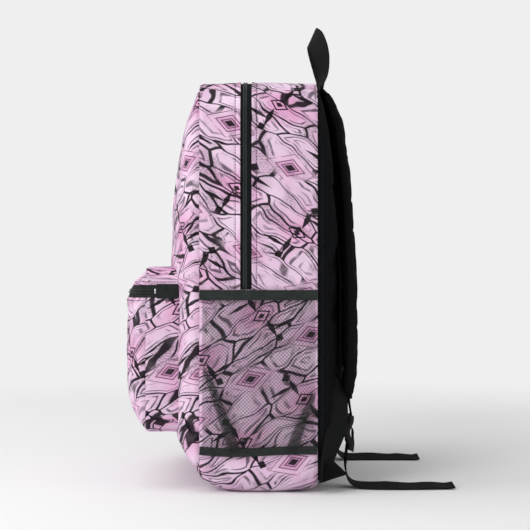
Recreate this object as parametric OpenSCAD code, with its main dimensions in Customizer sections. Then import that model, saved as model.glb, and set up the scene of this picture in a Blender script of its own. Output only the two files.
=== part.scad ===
// School backpack: printed fabric body with a zipped front flap, a front pocket,
// two elastic mesh side pockets, a padded back and two padded shoulder straps.
// Origin: centre of the base on the ground. Front faces -Y, straps are at +Y, +Z is up.
// Units are millimetres.

/* [Body] */
// Width across the side panels
body_w = 300; // [280:2:320]
// Height of the body
body_h = 450; // [440:1:470]
// Y of the seam between the front panel and the gusset
seam_front = -64; // [-70:1:-60]
// Y of the seam between the back panel and the gusset
seam_rear = 65; // [60:1:70]
// Radius of the upper corners, seen from the front
top_r = 45; // [35:1:60]
// Radius of the lower corners, seen from the front
base_r = 22; // [15:1:30]
// Thickness of the printed fabric with its lining
fabric_t = 1.6; // [1.2:0.1:2]

/* [Main zip] */
// Y of the middle of the main zip
zip_y = -13; // [-16:1:-10]
// Width of the zip that shows between the fabric edges
zip_w = 12.4; // [11:0.1:14]
// Width of one half of the coil
coil_w = 2.4; // [2:0.1:2.6]
// Height of the zip ends, and of the top of the mesh pockets
zip_end_z = 221; // [215:1:230]

/* [Front pocket] */
// Width of the front pocket
pocket_w = 254; // [230:2:260]
// Height of the pocket's lower edge
pocket_z0 = 62; // [55:1:70]
// Height of the pocket's upper edge
pocket_z1 = 246; // [240:1:250]
// Y of the pocket's front seam
pocket_seam = -124; // [-128:1:-120]
// Height of the middle of the pocket zip
pocket_zip_z = 219; // [215:1:221]

/* [Straps] */
// Width of the padded shoulder strap
strap_w = 64; // [56:1:68]
// Thickness of the padded shoulder strap
strap_t = 12; // [11:1:13]
// Width of the webbing
webbing_w = 25; // [20:1:25]
// Thickness of the webbing
webbing_t = 1.6; // [1.2:0.1:1.8]

/* [Hidden] */
$fn = 48;

PRINT = "#e6c4dc";
BLACK = "#1a1b1d";
WEBBING = "#141515";
ZIP_GREY = "#35383a";
NET_GREY = "#5a5f5e";
SILVER = "silver";
FOAM = "#3a3a3c";
LINING = "#77777b";

gap = 0.3;              // clear space left between neighbouring sewn pieces
half_w = body_w / 2;
far = 400;              // reach of the cutting boxes
fold_z = 300;           // height at which the front folds when the top is unzipped
front_bottom = 16;      // height of the front seam at the base
rear_bottom = 11;       // height of the back seam at the base
zip_front = zip_y - zip_w / 2;
zip_rear = zip_y + zip_w / 2;
coil_y = zip_y - 1;     // the two coil halves meet here
tape_t = 0.8;
lid_z = pocket_zip_z + 7;
pocket_top_z = pocket_zip_z - 7;
band_h = 11;

// [depth in front of the seam, side inset, top inset, bottom inset] of the padded front
front_swell = [
    [0, 0, 0, 0], [8, 3, 5, 3], [18, 10, 20, 14], [25, 23, 40, 32],
    [30.5, 44, 76, 58], [36.5, 80, 124, 90], [39.5, 110, 160, 115]
];
// [depth in front of the pocket's seam, side inset, top inset, bottom inset]
pocket_swell = [
    [0, 0, 0, 0], [9, 3, 7.5, 3], [18, 10, 19, 10], [26, 28, 41, 28], [30, 62, 77, 62]
];
// [y, side inset, top inset, bottom inset] of the padded back
back_swell = [
    [seam_rear, 0, 0, 0], [74, 3, 45, 0], [78.5, 8, 78, 4],
    [82.5, 20, 118, 20], [85.5, 44, 170, 52]
];
// y, z of the base seen from the side, from the front seam to the back seam
base_sag = [
    [seam_front, front_bottom], [-56, 9], [-44, 4], [-28, 1], [-14, 0],
    [30, 0], [44, 1.5], [56, 5.5], [seam_rear, rear_bottom]
];

// ---- shared shapes ----

// Upright plate outline in X and Z with its own upper and lower corner radii
module plate(hw, z0, z1, rt, rb) {
    for (s = [-1, 1]) {
        translate([s * (hw - rt), z1 - rt]) circle(r = rt);
        translate([s * (hw - rb), z0 + rb]) circle(r = rb);
    }
    translate([rt - hw, z0 + rb]) square([2 * (hw - rt), z1 - z0 - rb]);
    translate([rb - hw, z0]) square([2 * (hw - rb), rb]);
    translate([-hw, z0 + rb]) square([2 * hw, z1 - z0 - rt - rb]);
}

// Extrudes an X-Z outline from y0 to y1
module along_y(y0, y1) {
    translate([0, y1, 0]) rotate([90, 0, 0]) linear_extrude(y1 - y0) children();
}

// Extrudes a Y-Z outline from x0 to x1
module along_x(x0, x1) {
    translate([x0, 0, 0]) rotate([90, 0, 90]) linear_extrude(x1 - x0) children();
}

module both_ways(right) {
    if (right) children();
    else mirror([1, 0, 0]) children();
}

module above(z) {
    intersection() {
        children();
        translate([-far, -far, z]) cube([2 * far, 2 * far, 2 * far]);
    }
}

module below(z) {
    intersection() {
        children();
        translate([-far, -far, z - 2 * far]) cube([2 * far, 2 * far, 2 * far]);
    }
}

// The body outline grown by g
module bag_outline(g) {
    plate(half_w + g, -g, body_h + g, top_r + g, base_r + g);
}

// A strip of the bag's rounded side wall, from depth g0 inside to g1
module wall_strip(y0, y1, g0, g1) {
    along_y(y0, y1) difference() {
        bag_outline(g1);
        bag_outline(g0);
    }
}

// ---- front of the body ----

module front_form(g) {
    hull() for (s = front_swell)
        along_y(seam_front - s[0] - g - 0.1, seam_front - s[0] - g)
            plate(half_w + g - s[1], front_bottom - g + s[3], body_h + g - s[2],
                top_r + g - min(s[1], top_r - 12), base_r + g - min(s[1], base_r - 12), $fn = 32);
}

module front_shell() {
    difference() {
        front_form(0);
        front_form(-fabric_t);
        translate([-far, seam_front - fabric_t - 0.5, -far]) cube([2 * far, far, 2 * far]);
    }
    along_y(seam_front - fabric_t - 1, seam_front - gap) difference() {
        plate(half_w, front_bottom, body_h, top_r, base_r);
        plate(half_w - 8, front_bottom + 8, body_h - 8, top_r - 8, base_r - 8);
    }
}

module front_panel_upper() {
    color(PRINT) above(fold_z + gap) front_shell();
}

module front_panel_lower() {
    color(PRINT) below(fold_z - gap) front_shell();
}

// ---- gussets ----

module front_gusset_upper() {
    color(PRINT) above(fold_z + gap)
        wall_strip(seam_front + gap, zip_front - gap, -fabric_t, 0);
}

module front_gusset_lower() {
    color(PRINT) above(zip_end_z + gap) below(fold_z - gap)
        wall_strip(seam_front + gap, zip_front - gap, -fabric_t, 0);
}

module rear_gusset() {
    color(PRINT) above(zip_end_z + gap)
        wall_strip(zip_rear + gap, seam_rear - gap, -fabric_t, 0);
}

module base_profile(lift) {
    polygon(concat([for (p = base_sag) [p[0], p[1] + lift]], [[seam_rear, 300], [seam_front, 300]]));
}

module base_gusset() {
    color(PRINT) below(zip_end_z - gap) difference() {
        intersection() {
            along_y(seam_front + gap, seam_rear - gap) bag_outline(0);
            along_x(-half_w, half_w) base_profile(0);
        }
        intersection() {
            along_y(seam_front - 5, seam_rear + 5) bag_outline(-fabric_t);
            along_x(-half_w, half_w) scale([1.02, 1]) base_profile(fabric_t);
        }
    }
}

// ---- back of the body ----

module back_form(g) {
    hull() for (s = back_swell)
        along_y(s[0] + g - 0.1, s[0] + g)
            plate(half_w - 1 + g - s[1], rear_bottom - g + s[3], body_h - 1 + g - s[2],
                top_r + g - min(s[1], 25), base_r + g - min(s[1], 10), $fn = 32);
}

module back_panel() {
    color(BLACK) difference() {
        back_form(0);
        back_form(-fabric_t);
        translate([0, -fabric_t - 2, 0]) back_form(-fabric_t);
    }
}

module back_foam() {
    color(FOAM) intersection() {
        back_form(-fabric_t - gap);
        translate([-far, seam_rear + gap, 0]) cube([2 * far, far, 2 * far]);
    }
}

module back_lining() {
    color(LINING) along_y(seam_rear - 2.4, seam_rear - 1.4)
        plate(half_w - 6, rear_bottom + 5, body_h - 6, top_r - 6, base_r - 6);
}

module rear_seam_binding() {
    color(BLACK) along_y(seam_rear - 14, seam_rear - 3) difference() {
        plate(half_w - 2.2, rear_bottom + 4, body_h - 2.2, top_r - 2.2, base_r - 2.2);
        plate(half_w - 4.2, rear_bottom + 6, body_h - 4.2, top_r - 4.2, base_r - 4.2);
    }
}

// ---- inside ----

board_w = 250;
board_d = 84;
board_t = 2.5;
board_z = 8;

module base_board() {
    color(BLACK) translate([0, 0, board_z]) linear_extrude(board_t) hull()
        for (x = [-1, 1], y = [-1, 1])
            translate([x * (board_w / 2 - 10), y * (board_d / 2 - 10)]) circle(r = 10);
}

sleeve_w = 260;
sleeve_z0 = 34;
sleeve_z1 = 300;
sleeve_y0 = 44;
sleeve_y1 = 60;

module laptop_sleeve() {
    color(LINING) difference() {
        translate([-sleeve_w / 2, sleeve_y0, sleeve_z0])
            cube([sleeve_w, sleeve_y1 - sleeve_y0, sleeve_z1 - sleeve_z0]);
        translate([fabric_t - sleeve_w / 2, sleeve_y0 + fabric_t, sleeve_z0 + fabric_t])
            cube([sleeve_w - 2 * fabric_t, sleeve_y1 - sleeve_y0 - 2 * fabric_t, far]);
    }
}

module sleeve_binding() {
    color(BLACK) translate([-sleeve_w / 2, sleeve_y0 - 0.6, sleeve_z1 + gap])
        cube([sleeve_w, 3, 9]);
}

// ---- main zip ----

module front_tape() {
    wall_strip(zip_front, coil_y - gap / 2, -tape_t, 0);
}

module front_coil() {
    wall_strip(coil_y - gap / 2 - coil_w, coil_y - gap / 2, 0.1, 1.4);
}

module main_zip_front_tape() {
    color(ZIP_GREY) above(fold_z + gap) front_tape();
}

module main_zip_front_tape_end() {
    color(ZIP_GREY) above(zip_end_z + gap) below(fold_z - gap) front_tape();
}

module main_zip_rear_tape() {
    color(ZIP_GREY) above(zip_end_z + gap)
        wall_strip(coil_y + gap / 2, zip_rear, -tape_t, 0);
}

module main_zip_front_coil() {
    color(BLACK) above(fold_z + gap) front_coil();
}

module main_zip_front_coil_end() {
    color(BLACK) above(zip_end_z + gap) below(fold_z - gap) front_coil();
}

module main_zip_rear_coil() {
    color(BLACK) above(zip_end_z + gap)
        wall_strip(coil_y + gap / 2, coil_y + gap / 2 + coil_w, 0.1, 1.4);
}

slider_len = 11;
slider_gap = 1.2;       // free height between the coil and the slider's plate
plate_t = 1.3;
plate_reach = 4;        // reach of the plate over the coil that stays in it
plate_lip = 1.2;        // reach of the plate over the coil that leaves it
bridge_w = 2.4;

// Slider with its coil lying along X and facing up, nose at x = 0. The plate stands clear
// of the coil so that the opening side can leave, and one flange hooks the other side.
module slider() {
    translate([0, -plate_lip, slider_gap]) cube([slider_len, plate_lip + plate_reach, plate_t]);
    translate([0, plate_reach - 1.2, 0.4]) cube([slider_len, 1.2, slider_gap]);
    difference() {
        translate([2, -bridge_w / 2, slider_gap + plate_t - 0.1]) cube([7, bridge_w, 3.9]);
        translate([4, -bridge_w, slider_gap + plate_t - 0.1]) cube([3, 2 * bridge_w, 2.7]);
    }
}

pull_len = 30;
pull_w = 7;
pull_t = 1.4;

// Pull tab lying along +X from its cross bar, which sits in the slider's bridge
module pull() {
    difference() {
        union() {
            cube([pull_len - 3.5, pull_w, pull_t]);
            translate([pull_len - 3.5, pull_w / 2, 0]) cylinder(d = pull_w, h = pull_t);
        }
        translate([1.3, 1.5, -1]) cube([6, pull_w - 3, pull_t + 2]);
        translate([pull_len - 5, pull_w / 2, -1]) cylinder(d = 2.6, h = pull_t + 2);
    }
}

slider_start = 0.6;
slider_z = body_h + 1.4;
bar_x = 4.9;
bar_z = slider_gap + plate_t + 0.55;

module main_slider(right) {
    color(SILVER) both_ways(right) translate([slider_start, coil_y, slider_z]) slider();
}

module main_pull(right) {
    color(BLACK) both_ways(right)
        translate([slider_start + bar_x, coil_y - pull_w / 2, slider_z + bar_z]) pull();
}

// ---- front pocket ----

module pocket_form(g) {
    hull() {
        for (s = pocket_swell)
            along_y(pocket_seam - s[0] - g, pocket_seam - s[0] - g + 0.1)
                plate(pocket_w / 2 + g - s[1], pocket_z0 - g + s[3], pocket_z1 + g - s[2],
                    16 + g - min(s[1], 4), 16 + g - min(s[1], 4), $fn = 32);
        along_y(-80, -79) plate(pocket_w / 2 + g, pocket_z0 - g, pocket_z1 + g, 16 + g, 16 + g, $fn = 32);
    }
}

// Pocket wall between growths g0 and g1, clear of the panel that it is sewn to
module pocket_wall(g0, g1) {
    difference() {
        pocket_form(g1);
        translate([0, 2, 0]) pocket_form(g0);
        pocket_form(g0);
        front_form(gap);
        translate([-far, seam_front - 12, -far]) cube([2 * far, far, 2 * far]);
    }
}

module pocket_front_panel() {
    color(PRINT) below(pocket_top_z - gap) intersection() {
        pocket_wall(-fabric_t, 0);
        translate([-far, -far, 0]) cube([2 * far, far + pocket_seam - gap / 2, 2 * far]);
    }
}

module pocket_gusset() {
    color(PRINT) below(pocket_top_z - gap) intersection() {
        pocket_wall(-fabric_t, 0);
        translate([-far, pocket_seam + gap / 2, 0]) cube([2 * far, far, 2 * far]);
    }
}

module pocket_lid() {
    color(PRINT) above(lid_z + gap) pocket_wall(-fabric_t, 0);
}

module pocket_zip_lower_tape() {
    color(ZIP_GREY) above(pocket_top_z) below(pocket_zip_z - gap / 2) pocket_wall(-fabric_t, -0.2);
}

tab_y = -111;           // the ribbon tabs end here, and the coil starts
lid_hinge_y = -104;     // the lid turns about its back edge; its zip half starts in front of it

module pocket_zip_upper_tape() {
    color(ZIP_GREY) above(pocket_zip_z + gap / 2) below(lid_z) intersection() {
        pocket_wall(-fabric_t, -0.2);
        translate([-far, -far, 0]) cube([2 * far, far + lid_hinge_y, 2 * far]);
    }
}

module pocket_coil(z0, z1) {
    color(BLACK) above(z0) below(z1) intersection() {
        pocket_wall(0, 1.3);
        translate([-far, -far, 0]) cube([2 * far, far + tab_y - 4, 2 * far]);
    }
}

module pocket_zip_lower_coil() {
    pocket_coil(pocket_zip_z - gap / 2 - coil_w, pocket_zip_z - gap / 2);
}

module pocket_zip_upper_coil() {
    pocket_coil(pocket_zip_z + gap / 2, pocket_zip_z + gap / 2 + coil_w);
}

module pocket_zip_end_tabs() {
    color(BLACK) for (right = [true, false]) both_ways(right)
        translate([pocket_w / 2 + 0.1, tab_y, pocket_top_z])
            cube([1, seam_front - 27 - tab_y, lid_z - pocket_top_z]);
}

module pocket_zip_end_stops() {
    color(SILVER) for (right = [true, false]) both_ways(right)
        translate([pocket_w / 2 + 0.1, tab_y - 3.4, pocket_zip_z - gap - coil_w])
            cube([1.6, 2.6, coil_w]);
}

coil_front = pocket_seam - 24;      // most forward y of the pocket's coil
pocket_slider_x = -86;

// Turns a slider or pull to run along X on the pocket's front, facing -Y
module on_pocket_zip() {
    translate([pocket_slider_x, coil_front, pocket_zip_z]) rotate([90, 0, 0]) mirror([0, 1, 0])
        children();
}

module pocket_slider() {
    color(SILVER) on_pocket_zip() slider();
}

module pocket_pull() {
    color(BLACK) on_pocket_zip() translate([bar_x, -pull_w / 2, bar_z]) pull();
}

// ---- side pockets of elastic mesh ----

net_t = 0.8;
net_z0 = 42;
net_inset = 0.5;        // net's clearance to the front and rear seams
net_slope_y = 24;       // how far in from the seams the net reaches its full bulge
net_slope_z = 30;       // the same from its top and bottom
net_bulge = 9;
net_depth = seam_rear - seam_front - 2 * net_inset;
binding_h = 9;
binding_t = 1.8;
band_t = 2.2;

module net_form(g) {
    hull() {
        translate([half_w, seam_front + net_inset - g, net_z0 - g])
            cube([0.6 + g, net_depth + 2 * g, zip_end_z - net_z0 + 2 * g]);
        translate([half_w, seam_front + net_slope_y, net_z0 + net_slope_z])
            cube([
                net_bulge + g, seam_rear - seam_front - 2 * net_slope_y,
                zip_end_z - net_z0 - 2 * net_slope_z
            ]);
    }
}

module side_mesh(right) {
    color(NET_GREY) both_ways(right) intersection() {
        difference() {
            net_form(0);
            net_form(-net_t);
        }
        translate([half_w + gap, -far, net_z0 + binding_h + gap])
            cube([far, 2 * far, zip_end_z - net_z0 - band_h - binding_h - 2 * gap]);
    }
}

module mesh_band(right) {
    color(ZIP_GREY) both_ways(right)
        translate([half_w + 1, seam_front + net_inset, zip_end_z - band_h])
            cube([band_t, net_depth, band_h]);
}

module mesh_binding(right) {
    color(ZIP_GREY) both_ways(right)
        translate([half_w + gap, seam_front + net_inset, net_z0])
            cube([binding_t, net_depth, binding_h]);
}

// ---- carry handle and yoke ----

handle_half = 46;
handle_top = 534;
handle_base = body_h + 2;
handle_y = 71;

// Carry handle's outline seen from the side, y with z
handle_side = [
    [handle_y - 3, handle_base - 1], [68, 482], [58.6, 508], [68, handle_top + 1],
    [78, 523], [81, 498], [80, 470], [handle_y + 4, handle_base - 1]
];

module arch(grow, half, rise) {
    n = 28;
    polygon([for (i = [0:n]) [
        -(half + grow) * cos(180 * i / n),
        handle_base + (rise + grow) * pow(sin(180 * i / n), 0.85)
    ]]);
}

module carry_handle() {
    rise = handle_top - handle_base;
    color(WEBBING) intersection() {
        along_y(handle_y - 25, handle_y + 25) difference() {
            arch(0, handle_half, rise);
            arch(-webbing_t * 1.6, handle_half, rise);
        }
        along_x(-far, far) polygon(handle_side);
    }
}

yoke_w = 190;
yoke_z0 = 408;

yoke_t = 2;

module strap_yoke() {
    color(BLACK) along_x(-yoke_w / 2, yoke_w / 2) polygon([
        [seam_rear + 1.8, body_h - 2], [seam_rear + 10.6, yoke_z0],
        [seam_rear + 10.6 + yoke_t, yoke_z0], [seam_rear + 1.8 + yoke_t, body_h - 2]
    ]);
}

// ---- shoulder straps ----

strap_z0 = 106;
strap_z1 = 449;
strap_x_top = 60;
strap_x_low = 98;
strap_end_w = 40;

function ease(t) = t * t * (3 - 2 * t);
function strap_share(z) = min(1, max(0, (strap_z1 - z) / (strap_z1 - strap_z0)));
function strap_x(z) = strap_x_top + (strap_x_low - strap_x_top) * ease(strap_share(z));
function strap_half(z) = strap_w / 2
    - (strap_w - strap_end_w) / 2 * pow(strap_share(z), 6)
    - 16 * pow(max(0, (strap_z0 + 10 - z) / 10), 3);

// Strap seen from behind, grown by g
module strap_outline(g) {
    n = 26;
    zs = [for (i = [0:n]) strap_z0 + (strap_z1 - strap_z0) * pow(i / n, 1.3)];
    offset(delta = g) polygon(concat(
        [for (z = zs) [strap_x(z) + strap_half(z), z]],
        [for (i = [n:-1:0]) [strap_x(zs[i]) - strap_half(zs[i]), zs[i]]]
    ));
}

// y of the strap's outer face at points down its length, with z
strap_face = [
    [72, 449], [80, 441], [89, 424], [95, 407], [99.5, 373], [103, 344],
    [106, 288], [108.6, 231], [108.6, 140], [106, 106]
];

// Share of a depth taken in y and in z at each of those points, as the pad thins to its top
depth_y = [0.03, 0.45, 0.8, 0.92, 1, 1, 1, 1, 1, 1];
depth_z = [0.25, 0.58, 0.5, 0.4, 0.15, 0, 0, 0, 0, 0];

// Strap seen from the side, between depths d0 and d1 inside the outer face
module strap_side(d0, d1) {
    n = len(strap_face) - 1;
    polygon([
        for (i = [0:2 * n + 1])
            let (j = i <= n ? i : 2 * n + 1 - i, d = i <= n ? d0 : d1)
                [strap_face[j][0] - d * depth_y[j], strap_face[j][1] - d * depth_z[j]]
    ]);
}

module strap_layer(right, d0, d1, g) {
    both_ways(right) intersection() {
        along_y(60, 130) strap_outline(g);
        along_x(0, far) strap_side(d0, d1);
    }
}

module strap_cover(right) {
    color(BLACK) strap_layer(right, 0, 2, 0);
}

module strap_foam(right) {
    color(FOAM) strap_layer(right, 2 + gap, strap_t - 2 - gap, -2);
}

module strap_spacer(right) {
    color(BLACK) strap_layer(right, strap_t - 2, strap_t, 0);
}

module strap_binding(right) {
    color(WEBBING) both_ways(right) intersection() {
        along_y(60, 130) difference() {
            strap_outline(2);
            strap_outline(gap);
        }
        along_x(0, far) strap_side(1, strap_t - 1);
        translate([0, 0, strap_z0 + 3]) cube([far, far, strap_z1 - 12 - strap_z0]);
    }
}

// ---- buckles, webbing and tails ----

lock_w = 34;
lock_z0 = 42;
lock_z1 = 82;
lock_y = 101;
lock_rail_t = 3.4;
lock_rail_d = 7;
bar_d = 4;
loop_out = 3.9;         // half depth of the loop outside its webbing
loop_in = 2.5;          // the same inside

module buckle_loop(right) {
    color(WEBBING) both_ways(right) translate([strap_x_low - webbing_w / 2, 0, 0]) along_x(0, webbing_w)
        difference() {
            polygon([
                [lock_y - loop_out, strap_z0 - 0.6], [lock_y - loop_out, lock_z1 - 7],
                [lock_y, lock_z1 - 9.5],
                [lock_y + loop_out, lock_z1 - 7], [lock_y + loop_out, strap_z0 - 0.6]
            ]);
            polygon([
                [lock_y - loop_in, lock_z1 + 12], [lock_y - loop_in, lock_z1 - 6.2],
                [lock_y, lock_z1 - 7.9],
                [lock_y + loop_in, lock_z1 - 6.2], [lock_y + loop_in, lock_z1 + 12]
            ]);
        }
}

// Frame with a top bar for the loop, a middle bar and a lower bar for the webbing
module ladder_lock(right) {
    color(BLACK) both_ways(right) translate([strap_x_low, lock_y, 0]) {
        for (z = [lock_z0 + 2, lock_z0 + 16, lock_z1 - 4])
            translate([-lock_w / 2 + 1, 0, z]) rotate([0, 90, 0])
                cylinder(d = bar_d, h = lock_w - 2);
        for (s = [-1, 1])
            translate([(s * (lock_w - lock_rail_t) - lock_rail_t) / 2, -lock_rail_d / 2, lock_z0])
                cube([lock_rail_t, lock_rail_d, lock_z1 - lock_z0 - 2]);
    }
}

// Webbing from the anchor at the side seam up towards the buckle. It stops short of it.
module lower_webbing(right) {
    color(WEBBING) both_ways(right) hull() {
        translate([half_w - 3, 80, 26]) cube([2, 12, 14]);
        translate([strap_x_low + 20, 88, 80]) cube([2, 8.5, 24]);
    }
}

anchor_t = 2.4;

// Sewn triangular tab at the foot of the side seam
module anchor_tab(right) {
    color(BLACK) both_ways(right) translate([half_w - 0.5, 0, 0]) along_x(0, anchor_t)
        polygon([[66, 12], [66.5, 38], [82, 36], [97, 22]]);
}

tail_bend = 12;
tail_drop_y = 97.5;
tail_end_right = 218;
tail_end_left = 204;

// Webbing that hangs from the buckle, turns on the ground and runs back along it
module strap_tail(right) {
    end_y = right ? tail_end_right : tail_end_left;
    color(WEBBING) both_ways(right) translate([strap_x_low - webbing_w / 2, 0, gap]) along_x(0, webbing_w) {
        translate([tail_drop_y, tail_bend]) square([webbing_t, lock_z0 - tail_bend - 4]);
        translate([tail_drop_y + tail_bend, tail_bend]) difference() {
            circle(r = tail_bend);
            circle(r = tail_bend - webbing_t);
            translate([0, -far]) square([far, 2 * far]);
            translate([-far, 0]) square([2 * far, far]);
        }
        translate([tail_drop_y + tail_bend, 0]) square([end_y - tail_drop_y - tail_bend, webbing_t]);
    }
}

// ---- nodes ----

front_panel_upper();
front_panel_lower();
front_gusset_upper();
front_gusset_lower();
rear_gusset();
base_gusset();
back_panel();
back_foam();
back_lining();
rear_seam_binding();
base_board();
laptop_sleeve();
sleeve_binding();
main_zip_front_tape();
main_zip_front_tape_end();
main_zip_rear_tape();
main_zip_front_coil();
main_zip_front_coil_end();
main_zip_rear_coil();
main_slider(false);  // main_slider_left
main_slider(true);  // main_slider_right
main_pull(false);  // main_pull_left
main_pull(true);  // main_pull_right
pocket_front_panel();
pocket_gusset();
pocket_lid();
pocket_zip_lower_tape();
pocket_zip_upper_tape();
pocket_zip_lower_coil();
pocket_zip_upper_coil();
pocket_zip_end_tabs();
pocket_zip_end_stops();
pocket_slider();
pocket_pull();
side_mesh(false);  // side_mesh_left
side_mesh(true);  // side_mesh_right
mesh_band(false);  // mesh_band_left
mesh_band(true);  // mesh_band_right
mesh_binding(false);  // mesh_binding_left
mesh_binding(true);  // mesh_binding_right
carry_handle();
strap_yoke();
strap_cover(false);  // strap_cover_left
strap_cover(true);  // strap_cover_right
strap_foam(false);  // strap_foam_left
strap_foam(true);  // strap_foam_right
strap_spacer(false);  // strap_spacer_left
strap_spacer(true);  // strap_spacer_right
strap_binding(false);  // strap_binding_left
strap_binding(true);  // strap_binding_right
buckle_loop(false);  // buckle_loop_left
buckle_loop(true);  // buckle_loop_right
ladder_lock(false);  // ladder_lock_left
ladder_lock(true);  // ladder_lock_right
lower_webbing(false);  // lower_webbing_left
lower_webbing(true);  // lower_webbing_right
anchor_tab(false);  // anchor_tab_left
anchor_tab(true);  // anchor_tab_right
strap_tail(false);  // strap_tail_left
strap_tail(true);  // strap_tail_right
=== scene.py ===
"""School backpack: soft goods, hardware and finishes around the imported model, in metres."""
import math

import bmesh
import bpy
import numpy as np
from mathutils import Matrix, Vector, noise


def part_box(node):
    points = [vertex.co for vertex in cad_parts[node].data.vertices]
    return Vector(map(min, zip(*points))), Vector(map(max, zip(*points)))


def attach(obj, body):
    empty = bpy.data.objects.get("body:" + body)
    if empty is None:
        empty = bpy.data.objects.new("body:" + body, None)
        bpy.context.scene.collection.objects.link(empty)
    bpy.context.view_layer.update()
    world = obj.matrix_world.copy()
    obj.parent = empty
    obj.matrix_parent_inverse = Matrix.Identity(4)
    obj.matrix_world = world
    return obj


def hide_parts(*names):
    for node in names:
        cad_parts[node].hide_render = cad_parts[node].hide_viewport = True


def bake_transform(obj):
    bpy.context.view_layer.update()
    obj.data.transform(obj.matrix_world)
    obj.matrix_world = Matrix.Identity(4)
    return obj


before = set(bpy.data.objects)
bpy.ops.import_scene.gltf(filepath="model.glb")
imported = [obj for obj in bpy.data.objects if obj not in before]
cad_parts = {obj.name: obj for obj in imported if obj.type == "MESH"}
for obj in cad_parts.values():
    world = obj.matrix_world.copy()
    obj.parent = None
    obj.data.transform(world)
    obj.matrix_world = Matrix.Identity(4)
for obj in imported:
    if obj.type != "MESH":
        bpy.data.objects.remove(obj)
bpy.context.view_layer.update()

MM = 0.001
SIDES = (("left", -1), ("right", 1))


def low(node, axis):
    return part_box(node)[0][axis]


def high(node, axis):
    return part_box(node)[1][axis]


# ---- driving sizes, from the frame ----

HALF_W = high("rear_gusset", 0)
BODY_H = high("rear_gusset", 2)
SEAM_FRONT = low("front_gusset_upper", 1)
SEAM_REAR = high("rear_gusset", 1)
ZIP_FRONT = low("main_zip_front_tape", 1)
ZIP_REAR = high("main_zip_rear_tape", 1)
COIL_Y = (high("main_zip_front_coil", 1) + low("main_zip_rear_coil", 1)) / 2
ZIP_END = low("rear_gusset", 2)
FOLD_Z = low("front_panel_upper", 2)
FRONT_CREST = low("front_panel_upper", 1)
POCKET_HALF = high("pocket_lid", 0)
POCKET_Z0 = low("pocket_gusset", 2)
POCKET_Z1 = high("pocket_lid", 2)
POCKET_SEAM = high("pocket_front_panel", 1)
POCKET_CREST = low("pocket_front_panel", 1)
POCKET_BAND = (low("pocket_zip_lower_tape", 2), low("pocket_lid", 2))
POCKET_ZIP_Z = sum(POCKET_BAND) / 2
TOP_R = 45 * MM
BASE_R = 22 * MM
FABRIC = 1.6 * MM
THREAD_PITCH = 0.8 * MM
WEB_W = 25 * MM
WEB_T = 1.6 * MM
FRONT_BOTTOM = 16 * MM
FOLD_SPAN = ((0, FRONT_CREST, FOLD_Z - 45 * MM), (0, FRONT_CREST, FOLD_Z + 45 * MM))


# ---- numbers ----

def smooth(t):
    t = np.clip(t, 0, 1)
    return t * t * (3 - 2 * t)


def bump(d, width):
    return np.exp(-(d / width) ** 2)


def fbm(points, wavelength, seed=0.0):
    """Smooth noise in -1..1 at points (..., 3)."""
    flat = np.asarray(points, float).reshape(-1, 3) / wavelength
    shift = Vector((seed, seed * 1.7, -seed))
    values = [noise.noise(Vector(p) + shift) + 0.5 * noise.noise(Vector(p) * 2.1 - shift) for p in flat]
    return np.array(values).reshape(np.asarray(points).shape[:-1])


def spline(control, n):
    """n points on a smooth curve through the control points."""
    c = np.asarray(control, float)
    c = np.vstack([2 * c[0] - c[1], c, 2 * c[-1] - c[-2]])
    t = np.linspace(0, len(c) - 3, n)
    i = np.minimum(t.astype(int), len(c) - 4)
    f = (t - i)[:, None]
    a, b, d, e = c[i], c[i + 1], c[i + 2], c[i + 3]
    return 0.5 * (2 * b + (d - a) * f + (2 * a - 5 * b + 4 * d - e) * f**2
                  + (3 * b - a - 3 * d + e) * f**3)


def unit(v):
    return v / np.maximum(np.linalg.norm(v, axis=-1, keepdims=True), 1e-12)


def arclength(points):
    return np.concatenate([[0], np.cumsum(np.linalg.norm(np.diff(points, axis=0), axis=1))])


def resample(points, n):
    s = arclength(points)
    t = np.linspace(0, s[-1], n)
    return np.stack([np.interp(t, s, points[:, k]) for k in range(points.shape[1])], 1)


# ---- meshes ----

def link(obj):
    bpy.context.collection.objects.link(obj)
    return obj


def add_object(name, verts, faces, uvs=None, material=None):
    mesh = bpy.data.meshes.new(name)
    mesh.from_pydata(np.asarray(verts, float).tolist(), [], [[int(i) for i in f] for f in faces])
    if uvs is not None:
        loops = np.empty(len(mesh.loops), int)
        mesh.loops.foreach_get("vertex_index", loops)
        mesh.uv_layers.new(name="UVMap").data.foreach_set("uv", np.asarray(uvs, float)[loops].ravel())
    mesh.shade_smooth()
    if material:
        mesh.materials.append(material)
    return link(bpy.data.objects.new(name, mesh))


def grid_faces(nu, nv):
    index = np.arange(nu * nv).reshape(nu, nv)
    corners = [index[:-1, :-1], index[1:, :-1], index[1:, 1:], index[:-1, 1:]]
    return np.stack(corners, -1).reshape(-1, 4).tolist()


def grid_object(name, points, uvs, material):
    nu, nv = points.shape[:2]
    return add_object(name, points.reshape(-1, 3), grid_faces(nu, nv), uvs.reshape(-1, 2), material)


def edit(obj, work):
    bm = bmesh.new()
    bm.from_mesh(obj.data)
    work(bm)
    bm.to_mesh(obj.data)
    bm.free()
    obj.data.update()
    return obj


def weld(obj, distance=1e-6):
    return edit(obj, lambda bm: bmesh.ops.remove_doubles(bm, verts=bm.verts, dist=distance))


def outward(obj):
    return edit(obj, lambda bm: bmesh.ops.recalc_face_normals(bm, faces=bm.faces))


def apply_modifiers(obj):
    graph = bpy.context.evaluated_depsgraph_get()
    mesh = bpy.data.meshes.new_from_object(
        obj.evaluated_get(graph), preserve_all_data_layers=True, depsgraph=graph)
    obj.modifiers.clear()
    obj.data = mesh
    return obj


def sharpen(obj, degrees=45):
    obj.data.shade_smooth()
    obj.data.set_sharp_from_angle(angle=math.radians(degrees))
    return obj


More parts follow.
